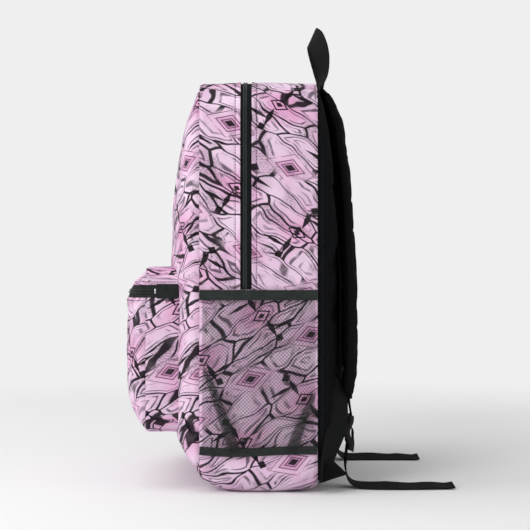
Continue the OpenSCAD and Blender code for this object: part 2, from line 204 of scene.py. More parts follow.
def thicken(obj, thickness=FABRIC):
    """Gives a sheet its thickness on the inner side."""
    shell = obj.modifiers.new("shell", "SOLIDIFY")
    shell.thickness = thickness
    shell.offset = -1
    shell.use_even_offset = True
    obj.data.materials.append(LINING)
    shell.material_offset = 1
    return sharpen(apply_modifiers(obj), 55)


def puff(obj, held, cap, grow, pressure=3.0, frames=14):
    """Blows a sewn sheet out as cloth, with the held points fixed; its travel is capped."""
    start = coords(obj)
    scene = bpy.context.scene
    group = obj.vertex_groups.new(name="held")
    group.add(np.flatnonzero(held).tolist(), 1.0, "REPLACE")
    cloth = obj.modifiers.new("cloth", "CLOTH")
    settings = cloth.settings
    settings.quality = 6
    settings.mass = 0.3
    settings.tension_stiffness = settings.compression_stiffness = 12
    settings.shear_stiffness = 5
    settings.bending_stiffness = 0.4
    settings.use_pressure = True
    settings.uniform_pressure_force = pressure
    settings.shrink_min = -grow
    settings.vertex_group_mass = "held"
    settings.effector_weights.gravity = 0
    cloth.point_cache.frame_start, cloth.point_cache.frame_end = 1, frames
    for frame_number in range(1, frames + 1):
        scene.frame_set(frame_number)
    evaluated = obj.evaluated_get(bpy.context.evaluated_depsgraph_get())
    end = np.empty(len(start) * 3)
    evaluated.data.vertices.foreach_get("co", end)
    move = end.reshape(-1, 3) - start
    far = np.linalg.norm(move, axis=1, keepdims=True)
    obj.modifiers.clear()
    obj.vertex_groups.clear()
    scene.frame_set(1)
    return set_coords(obj, start + move * np.minimum(1, cap / np.maximum(far, 1e-9)))


def tube(name, points, material, uvs=None):
    """A capped tube from rows of points that each close on themselves."""
    nu, nv = points.shape[:2]
    uvs = np.zeros((nu, nv, 2)) if uvs is None else uvs
    faces = grid_faces(nu, nv) + [list(range(nv - 1)), [(nu - 1) * nv + i for i in range(nv - 1)][::-1]]
    return outward(weld(add_object(name, points.reshape(-1, 3), faces, uvs.reshape(-1, 2), material)))


def sweep(name, centre, across, profile, material):
    """A closed profile (across, outward) carried along a path; across is the width direction."""
    centre = np.asarray(centre, float)
    tangent = unit(np.gradient(centre, axis=0))
    across = np.broadcast_to(np.asarray(across, float), centre.shape)
    across = unit(across - (across * tangent).sum(1, keepdims=True) * tangent)
    normal = np.cross(tangent, across)
    loop = np.vstack([profile, profile[:1]])
    points = (centre[:, None] + across[:, None] * loop[None, :, :1] + normal[:, None] * loop[None, :, 1:])
    uvs = np.stack(np.broadcast_arrays(arclength(loop)[None, :], arclength(centre)[:, None]), -1)
    return sharpen(tube(name, points, material, uvs), 50)


def web_profile(width=WEB_W, thickness=WEB_T, n=10):
    """Woven webbing: flat faces with a slightly thicker selvedge."""
    x = np.linspace(-0.5, 0.5, n)
    half = thickness / 2 * (0.82 + 0.3 * bump(np.abs(x) - 0.43, 0.05))
    return np.vstack([np.stack([x * width, half], 1), np.stack([x[::-1] * width, -half], 1)])


def oval_profile(width, thickness, n=14, power=0.8):
    a = np.linspace(0, 2 * np.pi, n, endpoint=False)
    c, s = np.cos(a), np.sin(a)
    return np.stack([np.sign(c) * np.abs(c) ** power * width / 2,
                     np.sign(s) * np.abs(s) ** power * thickness / 2], 1)


def box_mesh(bm, size, centre):
    made = bmesh.ops.create_cube(bm, size=1.0)["verts"]
    bmesh.ops.scale(bm, vec=size, verts=made)
    bmesh.ops.translate(bm, vec=centre, verts=made)


def mark(nodes):
    """Hides the CAD nodes that a piece stands for."""
    if nodes:
        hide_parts(*nodes)


def put(obj, body, *nodes, slot):
    """A piece that rides on one body."""
    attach(obj, body)
    mark(nodes)


def loft(bm, rows):
    """Skins closed rows of vertices into a capped solid."""
    for here, there in zip(rows, rows[1:]):
        for i in range(len(here)):
            bm.faces.new((here[i - 1], here[i], there[i], there[i - 1]))
    bm.faces.new(rows[0][::-1])
    bm.faces.new(rows[-1])


def put_blend(obj, ends, span, *nodes, slot):
    """Bakes a piece's placement into its mesh and hides its CAD nodes."""
    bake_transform(obj)
    mark(nodes)


def put_fold(obj, *nodes, slot):
    """Fabric at the top flap, baked in place through put_blend."""
    put_blend(obj, ("bag", "flap"), FOLD_SPAN, *nodes, slot=slot)


# ---- materials ----

class Shader:
    """Short forms for building a node tree."""

    def __init__(self, name, rough=0.8, sheen=0.0, gloss=0.12):
        self.material = bpy.data.materials.new(name)
        self.material.use_nodes = True
        self.tree = self.material.node_tree
        self.surface = self.tree.nodes["Principled BSDF"]
        self.surface.inputs["Roughness"].default_value = rough
        self.surface.inputs["Sheen Weight"].default_value = sheen
        self.surface.inputs["Sheen Roughness"].default_value = 0.4
        self.surface.inputs["Specular IOR Level"].default_value = gloss

    def node(self, kind, *links, **settings):
        made = self.tree.nodes.new("ShaderNode" + kind)
        for key, value in settings.items():
            setattr(made, key, value)
        for index, value in enumerate(links):
            if value is not None:
                self.feed(made.inputs[index], value)
        return made

    def feed(self, socket, value):
        if isinstance(value, bpy.types.NodeSocket):
            self.tree.links.new(value, socket)
        else:
            socket.default_value = value

    def math(self, operation, a, b=None, c=None):
        return self.node("Math", a, b, c, operation=operation).outputs[0]

    def add(self, a, b):
        return self.math("ADD", a, b)

    def sub(self, a, b):
        return self.math("SUBTRACT", a, b)

    def mul(self, a, b):
        return self.math("MULTIPLY", a, b)

    def mul_add(self, a, b, c):
        return self.math("MULTIPLY_ADD", a, b, c)

    def most(self, a, b):
        return self.math("MAXIMUM", a, b)

    def flip(self, a):
        return self.math("SUBTRACT", 1.0, a)

    def uv(self):
        return self.node("UVMap", uv_map="UVMap").outputs[0]

    def place(self):
        return self.node("TexCoord").outputs["Object"]

    def scaled(self, vector, scale, turn=0.0, shift=(0, 0, 0)):
        made = self.node("Mapping", vector)
        made.inputs["Scale"].default_value = scale
        made.inputs["Rotation"].default_value = (0, 0, turn)
        made.inputs["Location"].default_value = shift
        return made.outputs[0]

    def noise(self, vector, scale, detail=3.0, roughness=0.5):
        made = self.node("TexNoise", vector)
        made.inputs["Scale"].default_value = scale
        made.inputs["Detail"].default_value = detail
        made.inputs["Roughness"].default_value = roughness
        return made.outputs["Fac"]

    def cells(self, vector, scale, feature="F1", randomness=1.0):
        made = self.node("TexVoronoi", vector, feature=feature)
        made.inputs["Scale"].default_value = scale
        made.inputs["Randomness"].default_value = randomness
        return made.outputs["Distance"]

    def step(self, value, start, end):
        made = self.node("MapRange", value, start, end, 0.0, 1.0, interpolation_type="SMOOTHSTEP")
        return made.outputs[0]

    def mix(self, share, a, b):
        made = self.node("Mix", data_type="RGBA")
        self.feed(made.inputs[0], share)
        self.feed(made.inputs[6], a)
        self.feed(made.inputs[7], b)
        return made.outputs[2]

    def split(self, vector):
        made = self.node("SeparateXYZ", vector)
        return made.outputs[0], made.outputs[1]

    def join(self, x, y):
        return self.node("CombineXYZ", x, y).outputs[0]

    def wave(self, value, period):
        """0..1 sine of a length in metres."""
        turned = self.math("SINE", self.mul(value, 2 * math.pi / period))
        return self.mul_add(turned, 0.5, 0.5)

    def relief(self, height, distance, strength=1.0):
        made = self.node("Bump")
        made.inputs["Distance"].default_value = distance
        made.inputs["Strength"].default_value = strength
        self.feed(made.inputs["Height"], height)
        self.feed(self.surface.inputs["Normal"], made.outputs[0])

    def colour(self, value):
        self.feed(self.surface.inputs["Base Color"], value)

    def rough(self, value):
        self.feed(self.surface.inputs["Roughness"], value)


def rgb(r, g, b):
    """A display colour in 0..255 as linear RGBA."""
    def linear(c):
        c /= 255
        return c / 12.92 if c <= 0.04045 else ((c + 0.055) / 1.055) ** 2.4
    return (linear(r), linear(g), linear(b), 1.0)


def weave(shader, vector):
    """Plain weave height, 0..1."""
    x, y = shader.split(vector)
    return shader.mul(shader.wave(x, THREAD_PITCH), shader.wave(y, THREAD_PITCH))


def printed_fabric(name, mirror=False):
    """Own abstract print: pale lilac ground, blotches, drifting petal outlines, diamonds and darts."""
    s = Shader(name, 0.82, 0.04)
    uv = s.uv()
    place = s.scaled(uv, (-1 if mirror else 1, 1, 1), 0.0, (0.013, 0.021, 0))
    drift = s.node("TexNoise", place)
    drift.inputs["Scale"].default_value = 26
    drift.inputs["Detail"].default_value = 1.2
    shift = s.node("VectorMath", drift.outputs["Color"], (0.5, 0.5, 0.5), operation="SUBTRACT").outputs[0]
    shift = s.node("VectorMath", shift, operation="SCALE")
    shift.inputs["Scale"].default_value = 22 * MM
    bent = s.node("VectorMath", place, shift.outputs[0], operation="ADD").outputs[0]

    # petal outlines: long cells lying along a slope, swelling to black in places
    slope = s.scaled(s.scaled(bent, (1, 1, 1), math.radians(33)), (17, 56, 1))
    edge = s.cells(slope, 1.0, "DISTANCE_TO_EDGE", 0.78)
    heart = s.cells(slope, 1.0, "F1", 0.78)
    grain = s.noise(uv, 620, 3, 0.7)
    broken = s.step(s.noise(bent, 60, 2), 0.32, 0.56)
    swell = s.mul(s.step(s.noise(bent, 46, 2), 0.55, 0.8), 0.035)

    def band(value, middle, half, soft):
        """1 within half of the middle, falling off over soft."""
        gap = s.math("ABSOLUTE", s.sub(value, middle))
        return s.flip(s.step(gap, half, half + soft))

    outline = s.flip(s.step(edge, s.add(swell, 0.02), s.add(swell, 0.038)))
    inner = s.mul(band(edge, 0.13, 0.012, 0.02), broken)
    inmost = s.mul(band(edge, 0.27, 0.01, 0.02), s.step(s.noise(bent, 33, 2), 0.45, 0.6))
    speck = s.step(grain, 0.46, 0.56)
    smudge = s.flip(s.step(heart, 0.06, 0.36))
    smudge = s.mul(smudge, s.step(s.noise(bent, 50, 2), 0.42, 0.62))
    beside = s.mul(s.step(edge, 0.16, 0.04), s.step(s.noise(bent, 36, 1), 0.4, 0.62))
    smudge = s.mul(s.most(smudge, beside), s.mul_add(speck, 0.75, 0.2))

    # a slanted lattice carries the diamonds and the darts
    x, y = s.split(place)
    ax, ay, bx, by = 0.065, -0.048, 0.046, 0.090
    det = ax * by - bx * ay

    def lattice(du, dv):
        u = s.mul_add(x, by / det, s.mul_add(y, -bx / det, du))
        v = s.mul_add(x, -ay / det, s.mul_add(y, ax / det, dv))
        u = s.sub(s.math("FRACT", u), 0.5)
        v = s.sub(s.math("FRACT", v), 0.5)
        lx = s.mul_add(u, ax, s.mul(v, bx))
        ly = s.mul_add(u, ay, s.mul(v, by))
        return lx, ly

    def rhomb(lx, ly, turn, a, b, dx=0.0, dy=0.0):
        c, k = math.cos(math.radians(turn)), math.sin(math.radians(turn))
        lx = s.add(lx, dx * MM)
        ly = s.add(ly, dy * MM)
        p = s.mul_add(lx, c, s.mul(ly, k))
        q = s.mul_add(lx, -k, s.mul(ly, c))
        p = s.mul(s.math("ABSOLUTE", p), 1 / (a * MM))
        q = s.mul(s.math("ABSOLUTE", q), 1 / (b * MM))
        return s.add(p, q)

    def within(value, limit, soft=0.07):
        return s.flip(s.step(value, limit - soft, limit + soft))

    lx, ly = lattice(0.1, 0.2)
    eye = rhomb(lx, ly, -20, 17.5, 10)
    eye_fill = within(eye, 0.95)
    eye_core = within(eye, 0.4, 0.1)
    eye_rim = s.most(band(eye, 0.95, 0.03, 0.06), band(eye, 0.56, 0.03, 0.07))
    eye_ring = s.mul(band(eye, 1.55, 0.02, 0.05), broken)
    eye_clear = within(eye, 1.75, 0.45)
    dx, dy = lattice(0.62, 0.72)
    darts = within(rhomb(dx, dy, 58, 12, 3.4, -11, -13), 0.95, 0.12)
    more = ((58, 12, 3.4, 11, 13), (20, 5.5, 5, 19.5, 23), (-32, 6, 5, -19.5, -23), (-30, 17, 2.2, 24, 8),
            (-30, 17, 2.2, -24, -8))
    for turn, a, b, px, py in more:
        darts = s.most(darts, within(rhomb(dx, dy, turn, a, b, px, py), 0.95, 0.12))
    bow = rhomb(dx, dy, -30, 11, 7)
    bow_rim = s.most(band(bow, 0.9, 0.08, 0.1), within(bow, 0.4))
    glow = within(rhomb(dx, dy, -30, 36, 24), 0.8, 0.75)
    halo = within(eye, 1.9, 0.9)

    ground = s.mix(s.step(s.noise(bent, 26, 3), 0.35, 0.68), rgb(239, 212, 234), rgb(226, 190, 219))
    ground = s.mix(s.mul(s.step(s.noise(place, 13, 2), 0.54, 0.76), 0.6), ground, rgb(236, 165, 210))
    ground = s.mix(s.mul(glow, 0.62), ground, rgb(222, 142, 192))
    ground = s.mix(s.mul(halo, 0.3), ground, rgb(232, 164, 208))
    ground = s.mix(s.mul(smudge, 0.72), ground, rgb(74, 58, 72))
    lines = s.most(s.mul(outline, 0.97), s.mul(inner, 0.8))
    lines = s.most(lines, s.mul(inmost, 0.6))
    lines = s.mul(lines, s.flip(s.mul(eye_clear, 0.93)))
    painted = s.mix(lines, ground, rgb(26, 16, 25))
    painted = s.mix(s.mul(eye_fill, 0.55), painted, rgb(216, 146, 194))
    painted = s.mix(s.mul(s.most(eye_rim, eye_ring), 0.85), painted, rgb(66, 30, 56))
    dark = s.most(s.most(eye_core, darts), bow_rim)
    painted = s.mix(s.mul(dark, 0.97), painted, rgb(14, 9, 15))
    wear = s.noise(s.place(), 60, 4)
    painted = s.mix(s.mul(s.step(wear, 0.5, 0.8), 0.06), painted, rgb(250, 235, 246))
    s.colour(painted)
    threads = weave(s, uv)
    height = s.mul_add(threads, 0.6, s.mul(grain, 0.4))
    s.rough(s.mul_add(threads, 0.12, 0.74))
    s.relief(height, 0.25 * MM, 0.55)
    return s.material


def woven(name, dark, light):
    """Plain cloth, woven by its place in space."""
    s = Shader(name, 0.88, gloss=0.05)
    place = s.node("SeparateXYZ", s.place())
    vector = s.join(s.add(place.outputs[0], place.outputs[1]), place.outputs[2])
    threads = weave(s, vector)
    patches = s.noise(s.place(), 45, 4)
    s.colour(s.mix(s.mul_add(patches, 0.5, s.mul(threads, 0.5)), dark, light))
    s.rough(s.mul_add(patches, 0.16, 0.8))
    s.relief(s.mul_add(threads, 0.8, s.mul(s.noise(s.place(), 800, 2), 0.3)),
             0.3 * MM, 0.7)
    return s.material


def ribbed(name, dark, light, across=1.7 * MM, along=1.1 * MM):
    """Webbing and ribbon: slanted ribs, from the piece's own width and length."""
    s = Shader(name, 0.72, gloss=0.06)
    u, v = s.split(s.uv())
    slanted = s.wave(s.add(v, s.mul(s.math("PINGPONG", u, across), 0.9)), along)
    column = s.wave(u, across)
    ribs = s.mul(slanted, s.mul_add(column, 0.6, 0.4))
    dust = s.noise(s.place(), 120, 4)
    s.colour(s.mix(s.mul_add(dust, 0.5, s.mul(ribs, 0.5)), dark, light))
    s.rough(s.mul_add(dust, 0.18, 0.64))
    s.relief(ribs, 0.35 * MM, 0.8)
    return s.material


def spacer_mesh(name, dark, light):
    """Padded air mesh: round pores in rows, with painted shade inside each pore."""
    s = Shader(name, 0.9, gloss=0.03)
    pores = s.cells(s.place(), 330, "F1", 0.25)
    open_pore = s.flip(s.step(pores, 0.22, 0.45))
    fluff = s.noise(s.place(), 1400, 2)
    # the open pores are painted near black (4, 4, 5): painted shade inside the holes
    s.colour(s.mix(s.mul(open_pore, 0.85), s.mix(fluff, dark, light), rgb(4, 4, 5)))
    s.relief(s.sub(s.mul(fluff, 0.3), open_pore), 0.6 * MM, 0.8)
    return s.material


def moulded(name, dark, light, rough=0.5, metal=0.0):
    s = Shader(name, rough, gloss=0.3 if metal else 0.22)
    s.surface.inputs["Metallic"].default_value = metal
    grain = s.noise(s.place(), 900, 3)
    marks = s.noise(s.place(), 90, 5, 0.7)
    s.colour(s.mix(marks, dark, light))
    s.rough(s.mul_add(marks, 0.3, rough - 0.15))
    s.relief(grain, 0.05 * MM, 0.4)
    return s.material


def foam_cells(name):
    s = Shader(name, 0.9)
    bubbles = s.cells(s.place(), 900)
    s.colour(s.mix(bubbles, rgb(40, 40, 42), rgb(66, 66, 68)))
    s.relief(bubbles, 0.3 * MM, 0.6)
    return s.material


def thread(name, colour):
    s = Shader(name, 0.6, 0.02)
    twist = s.noise(s.place(), 1800, 2)
    s.colour(s.mix(twist, colour, tuple(0.6 * c for c in colour[:3]) + (1,)))
    s.relief(twist, 0.1 * MM)
    return s.material


PRINT = printed_fabric("print")
PRINT_MIRROR = printed_fabric("print_mirrored", True)
BLACK_WEAVE = woven("black_weave", rgb(11, 11, 12), rgb(27, 28, 29))
LINING = woven("lining_weave", rgb(96, 96, 100), rgb(128, 128, 132))
AIR_MESH = spacer_mesh("air_mesh", rgb(11, 12, 13), rgb(31, 32, 34))
WEBBING = ribbed("webbing", rgb(15, 16, 16), rgb(38, 39, 40))
RIBBON = ribbed("ribbon", rgb(30, 33, 33), rgb(58, 62, 61), 30 * MM, 0.9 * MM)
BINDING = ribbed("binding", rgb(8, 9, 10), rgb(24, 25, 26), 30 * MM, 1.0 * MM)
ELASTIC = ribbed("elastic", rgb(18, 22, 22), rgb(70, 76, 74), 2.4 * MM, 1.7 * MM)
TAPE = ribbed("zip_tape", rgb(20, 22, 23), rgb(36, 39, 40), 0.9 * MM, 0.8 * MM)
TAPE_GREY = ribbed("zip_tape_grey", rgb(38, 40, 41), rgb(62, 65, 66), 0.9 * MM, 0.8 * MM)
COIL = moulded("nylon_coil", rgb(30, 33, 34), rgb(84, 88, 88), 0.36)
NET = moulded("net_yarn", rgb(34, 37, 37), rgb(76, 80, 79), 0.7)
METAL = moulded("plated_metal", rgb(170, 170, 174), rgb(205, 205, 208), 0.35, 1.0)
DARK_METAL = moulded("dark_metal", rgb(44, 45, 47), rgb(70, 71, 74), 0.38, 0.9)
RUBBER = moulded("pull_rubber", rgb(18, 18, 19), rgb(36, 36, 38), 0.55)
PLASTIC = moulded("buckle_plastic", rgb(14, 14, 15), rgb(32, 33, 33), 0.45)
FOAM = foam_cells("foam")
PRINT_THREAD = thread("print_thread", rgb(78, 52, 70))
BLACK_THREAD = thread("black_thread", rgb(30, 30, 31))


# ---- the bag's outline ----

def ring(half_w, z0, z1, top_r, base_r, edge=28, corner=12, side=52):
    """Rounded upright outline from the middle of the base towards +X and round; closes on itself."""
    points = []

    def line(a, b, n):
        points.extend([(a[0] + (b[0] - a[0]) * i / n, a[1] + (b[1] - a[1]) * i / n) for i in range(n)])

    def arc(cx, cz, r, start):
        for i in range(corner):
            a = math.radians(start + 90 * i / corner)
            points.append((cx + r * math.cos(a), cz + r * math.sin(a)))

    line((0, z0), (half_w - base_r, z0), edge // 2)
    arc(half_w - base_r, z0 + base_r, base_r, -90)
    line((half_w, z0 + base_r), (half_w, z1 - top_r), side)
    arc(half_w - top_r, z1 - top_r, top_r, 0)
    line((half_w - top_r, z1), (top_r - half_w, z1), edge)
    arc(top_r - half_w, z1 - top_r, top_r, 90)
    line((-half_w, z1 - top_r), (-half_w, z0 + base_r), side)
    arc(base_r - half_w, z0 + base_r, base_r, 180)
    line((base_r - half_w, z0), (0, z0), edge // 2)
    points.append(points[0])
    return np.array(points)


def ring_normals(points):
    step = np.roll(points[:-1], -1, 0) - np.roll(points[:-1], 1, 0)
    step = unit(np.vstack([step, step[:1]]))
    return np.stack([step[:, 1], -step[:, 0]], 1)


OUTLINE = ring(HALF_W, 0, BODY_H, TOP_R, BASE_R, 56, 24, 90)
OUTLINE_N = ring_normals(OUTLINE)
OUTLINE_S = arclength(OUTLINE)
LOOP = OUTLINE_S[-1]
SIDE_START = HALF_W - BASE_R + math.pi / 2 * BASE_R - BASE_R


def at_height(z, right=True):
    """Distance along the outline to height z on a side wall."""
    s = SIDE_START + z
    return s if right else LOOP - s


def base_lift(y):
    front = 16 * MM * np.clip((-14 * MM - y) / (50 * MM), 0, 1) ** 2.6
    rear = 6 * MM * np.clip((y - 30 * MM) / (35 * MM), 0, 1) ** 2.4
    return front + rear


SIDE_SWELL = 2.4 * MM
TOP_SWELL = 0.8 * MM


def wall(s, y, off=0.0):
    """A point on the side, top or base strip: s along the outline, y across it, off outwards."""
    s, y, off = np.broadcast_arrays(np.mod(s, LOOP), np.asarray(y, float), np.asarray(off, float))
    x, z = (np.interp(s, OUTLINE_S, OUTLINE[:, k]) for k in (0, 1))
    nx, nz = (np.interp(s, OUTLINE_S, OUTLINE_N[:, k]) for k in (0, 1))
    middle = (SEAM_FRONT + SEAM_REAR) / 2
    crown = np.clip(1 - ((y - middle) / (SEAM_REAR - middle)) ** 2, 0, 1)
    swell = crown * (SIDE_SWELL * nx**2 * smooth((z - 0.03) / 0.1) + TOP_SWELL * np.clip(nz, 0, 1))
    lift = base_lift(y) * (1 - smooth(z / 0.055))
    out = off + swell
    return np.stack([x + nx * out, y, z + nz * out + lift], -1)


def wrinkle(points, amount=0.9 * MM):
    slanted = np.stack([points[..., 0], points[..., 1] * 1.6, points[..., 2] - points[..., 1] * 0.5], -1)
    return amount * (0.7 * fbm(slanted, 0.075, 3.1) + 0.3 * fbm(slanted, 0.028, 8.2))


def pucker(s, distance, period=12 * MM, amount=0.35 * MM):
    return amount * np.sin(2 * np.pi * s / period + 1.3 * np.sin(s / 0.05)) * np.exp(-distance / (7 * MM))


def strip_points(s, y, y0, y1, zip_edges):
    """Surface of a fabric strip of the wall between y0 and y1; an edge at the zip is folded over."""
    off = np.zeros(np.broadcast(s, y).shape)
    for edge_y, at_zip in ((y0, zip_edges[0]), (y1, zip_edges[1])):
        d = np.abs(y - edge_y)
        if at_zip:
            off = off + 0.9 * MM * (1 - smooth(d / HEM)) - 0.6 * MM * bump(d - STITCH_IN, 0.9 * MM)
        else:
            off = off - 1.3 * MM * bump(d, 2.2 * MM)
        off = off + pucker(s, d)
    off = off + wrinkle(wall(s, y)) * smooth(np.minimum(y - y0, y1 - y) / (12 * MM))
    points = wall(s, y, off)
    points[..., 2] = np.maximum(points[..., 2], 0.2 * MM)
    return points


HEM = 6.5 * MM
STITCH_IN = 5.4 * MM


def strip(name, s0, s1, y0, y1, material, zip_edges=(False, False)):
    ns = max(40, int((s1 - s0) / (5 * MM)))
    width = y1 - y0
    near = np.linspace(0, 9 * MM / width, 10)
    share = np.unique(np.concatenate([np.linspace(0, 1, 15), near, 1 - near]))
    y = y0 + width * share[(share >= 0) & (share <= 1)]
    yy, ss = np.meshgrid(y, np.linspace(s0, s1, ns), indexing="ij")
    points = strip_points(ss, yy, y0, y1, zip_edges)
    uvs = np.stack([yy, ss - SIDE_START], -1)
    return thicken(grid_object(name, points, uvs, material))


# ---- domed panels ----

def dome_rings(half_w, z0, z1, top_r, base_r, depth, insets, steps=20, power=0.4):
    """Rings of a padded dome as (x, z, depth) from its seam to its middle, and how far each spreads."""
    side, top, bottom = insets
    rings = []
    for k in range(steps + 1):
        t = (k / steps) ** 2
        d = depth * (1 - (1 - t) ** 1.5) ** power
        r = ring(half_w - side * t, z0 + bottom * t, z1 - top * t,
                 max(12 * MM, top_r - side * t), max(12 * MM, base_r - side * t))
        rings.append(np.column_stack([r, np.full(len(r), d)]))
    inner = rings[-1]
    centre = inner[:-1].mean(0)
    for f in (0.8, 0.6, 0.4, 0.2, 0.0):
        rings.append(centre + (inner - centre) * (f, f, 1) + (0, 0, 0.6 * MM * (1 - f)))
    return np.array(rings)


def unrolled(rings):
    """Flat coordinates of the rings: plan position pushed out by the length lost in the slope."""
    step = np.diff(rings, axis=0)
    extra = np.linalg.norm(step, axis=2) - np.linalg.norm(step[..., :2], axis=2)
    extra = np.vstack([np.cumsum(extra[::-1], 0)[::-1], np.zeros((1, rings.shape[1]))])
    normal = ring_normals(rings[0][:, :2])
    return rings[..., :2] + normal[None] * extra[..., None]


def eased(distance, length, power):
    """0 at an edge, rising to 1 away from it."""
    return 1 - np.exp(-(np.maximum(distance, 0) / length) ** power)


def front_ease(z):
    """The front panel leans back towards its top and rolls under at its foot."""
    return eased(BODY_H - z, 55 * MM, 0.95) * eased(z - FRONT_BOTTOM, 20 * MM, 1.3)


def front_depth(x, z):
    """How far the front panel stands out of its seam at x, z."""
    t = np.minimum.reduce([
        (HALF_W - np.abs(x)) / (110 * MM), (BODY_H - z) / (160 * MM), (z - FRONT_BOTTOM) / (115 * MM)])
    t = np.clip(t, 0, 1)
    return (SEAM_FRONT - FRONT_CREST) * (1 - (1 - t) ** 1.5) ** 0.4 * front_ease(z)


def dome_object(name, rings, y0, towards, material):
    points = np.stack([rings[..., 0], y0 + towards * rings[..., 2], rings[..., 1]], -1)
    uvs = unrolled(rings)
    points = points.transpose(1, 0, 2)
    uvs = uvs.transpose(1, 0, 2)
    if towards > 0:
        points, uvs = points[::-1], uvs[::-1]
    return weld(grid_object(name, points, uvs, material), 1e-5)


def open_pole(obj, middle):
    """Merges the slivers where a dome's rings close, so that cloth can move there."""
    def work(bm):
        near = [v for v in bm.verts if (v.co - Vector(middle)).length < 90 * MM]
        bmesh.ops.remove_doubles(bm, verts=near, dist=2.6 * MM)
    return edit(obj, work)


def front_panel():
    depth = SEAM_FRONT - FRONT_CREST
    rings = dome_rings(HALF_W, FRONT_BOTTOM, BODY_H, TOP_R, BASE_R, depth, (0.110, 0.160, 0.115), 26)
    normal = ring_normals(rings[0][:, :2])
    rings[..., 2] *= front_ease(rings[..., 1])
    crease = 1.3 * MM * bump(rings[..., 2:], 2.2 * MM)
    rings[..., :2] -= normal[None] * crease
    s = arclength(rings[0][:, :2])[None, :]
    rim = np.linalg.norm(rings - rings[0][None], axis=2)
    rings[..., 2] += wrinkle(rings, 1.6 * MM) * smooth(rim / (25 * MM)) + pucker(s, rim, 14 * MM)
    obj = dome_object("front_panel", rings, SEAM_FRONT, -1, PRINT_MIRROR)
    put_fold(thicken(obj), "front_panel_upper", "front_panel_lower", slot="printed_fabric")


front_panel()

right_end, left_end = at_height(ZIP_END), at_height(ZIP_END, False)
put_fold(strip("front_gusset", right_end, left_end, SEAM_FRONT, ZIP_FRONT, PRINT, (False, True)),
         "front_gusset_upper", "front_gusset_lower", slot="printed_fabric")
put(strip("rear_gusset_panel", right_end, left_end, ZIP_REAR, SEAM_REAR, PRINT, (True, False)),
    "bag", "rear_gusset", slot="printed_fabric")


put(strip("base_gusset_panel", left_end - LOOP, right_end, SEAM_FRONT, SEAM_REAR, PRINT_MIRROR),
    "bag", "base_gusset", slot="printed_fabric")


# ---- small repeated pieces ----

def loaf(width, length, height):
    """A rounded bump: across, along, up."""
    rows = []
    for u in (-0.5, -0.32, 0.32, 0.5):
        k = 1 if abs(u) < 0.4 else 0.5
        rows += [(u * width, -math.cos(a) * length / 2 * (0.5 + 0.5 * k), math.sin(a) * height * k)
                 for a in np.linspace(0, math.pi, 5)]
    faces = grid_faces(4, 5) + [[0, 1, 2, 3, 4], [19, 18, 17, 16, 15], [0, 5, 10, 15, 19, 14, 9, 4]]
    return np.array(rows), faces


def repeat(name, shape, centres, along, up, material):
    """Copies a small shape along a line; along and up are its directions at each place."""
    template, faces = shape
    along = unit(along)
    up = unit(up - (up * along).sum(1, keepdims=True) * along)
    across = np.cross(along, up)
    points = (centres[:, None] + template[None, :, 0:1] * across[:, None]
              + template[None, :, 1:2] * along[:, None] + template[None, :, 2:3] * up[:, None])
    n = len(template)
    every = [[i + n * k for i in face] for k in range(len(centres)) for face in faces]
    uvs = np.tile(template[:, :2], (len(centres), 1))
    return outward(add_object(name, points.reshape(-1, 3), every, uvs, material))


def line_up(path, up, pitch):
    """Places, directions and up vectors at a pitch along a path."""
    s = arclength(path)
    t = np.linspace(0, s[-1], max(2, int(s[-1] / pitch) + 1))
    places, up = (np.stack([np.interp(t, s, part[:, k]) for k in range(3)], 1) for part in (path, up))
    return places, np.gradient(places, axis=0), up


STITCH = loaf(0.7 * MM, 2.5 * MM, 0.45 * MM)
STITCH_PITCH, TOOTH_PITCH = 3.2 * MM, 1.7 * MM


def stitches(name, path, up, material=PRINT_THREAD):
    return repeat(name, STITCH, *line_up(path, up, STITCH_PITCH), material)


def teeth(name, path, up, width, pitch=TOOTH_PITCH):
    tooth = loaf(width, pitch * 0.82, 1.15 * MM)
    return repeat(name, tooth, *line_up(path, up, pitch), COIL)


def wall_up(s):
    s = np.mod(s, LOOP)
    nx, nz = (np.interp(s, OUTLINE_S, OUTLINE_N[:, k]) for k in (0, 1))
    return np.stack([nx, np.zeros_like(nx), nz], -1)


# ---- main zip ----

ZIP_S = np.linspace(right_end, left_end, 420)


def zip_tape(name, y0, y1):
    yy, ss = np.meshgrid(np.linspace(y0, y1, 5), ZIP_S, indexing="ij")
    off = -0.9 * MM + 0.25 * MM * bump(np.abs(yy - COIL_Y), 1.5 * MM)
    return thicken(grid_object(name, wall(ss, yy, off), np.stack([yy, ss], -1), TAPE), 0.7 * MM)


put_fold(zip_tape("main_zip_front_tape_run", ZIP_FRONT - 3 * MM, COIL_Y - 0.15 * MM),
         "main_zip_front_tape", "main_zip_front_tape_end", slot="zip_tape")
put(zip_tape("main_zip_rear_tape_run", COIL_Y + 0.15 * MM, ZIP_REAR + 3 * MM), "bag", "main_zip_rear_tape",
    slot="zip_tape")
COIL_OFF, COIL_SINK, COIL_W = 1.25 * MM, -0.7 * MM, 2.1 * MM
ZIP_UP = wall_up(ZIP_S)
coil = wall(ZIP_S, COIL_Y - COIL_OFF, COIL_SINK)
put_fold(teeth("main_zip_front_teeth", coil, ZIP_UP, COIL_W), "main_zip_front_coil",
         "main_zip_front_coil_end", slot="zip_coil")
coil = wall(ZIP_S + TOOTH_PITCH / 2, COIL_Y + COIL_OFF, COIL_SINK)
put(teeth("main_zip_rear_teeth", coil, ZIP_UP, COIL_W), "bag", "main_zip_rear_coil", slot="zip_coil")

line = strip_points(ZIP_S, np.full_like(ZIP_S, ZIP_FRONT - STITCH_IN), SEAM_FRONT, ZIP_FRONT, (False, True))
put_fold(stitches("main_zip_front_stitching", line, ZIP_UP), slot="printed_fabric")
line = strip_points(ZIP_S, np.full_like(ZIP_S, ZIP_REAR + STITCH_IN), ZIP_REAR, SEAM_REAR, (True, False))
put(stitches("main_zip_rear_stitching", line, ZIP_UP), "bag", slot="printed_fabric")


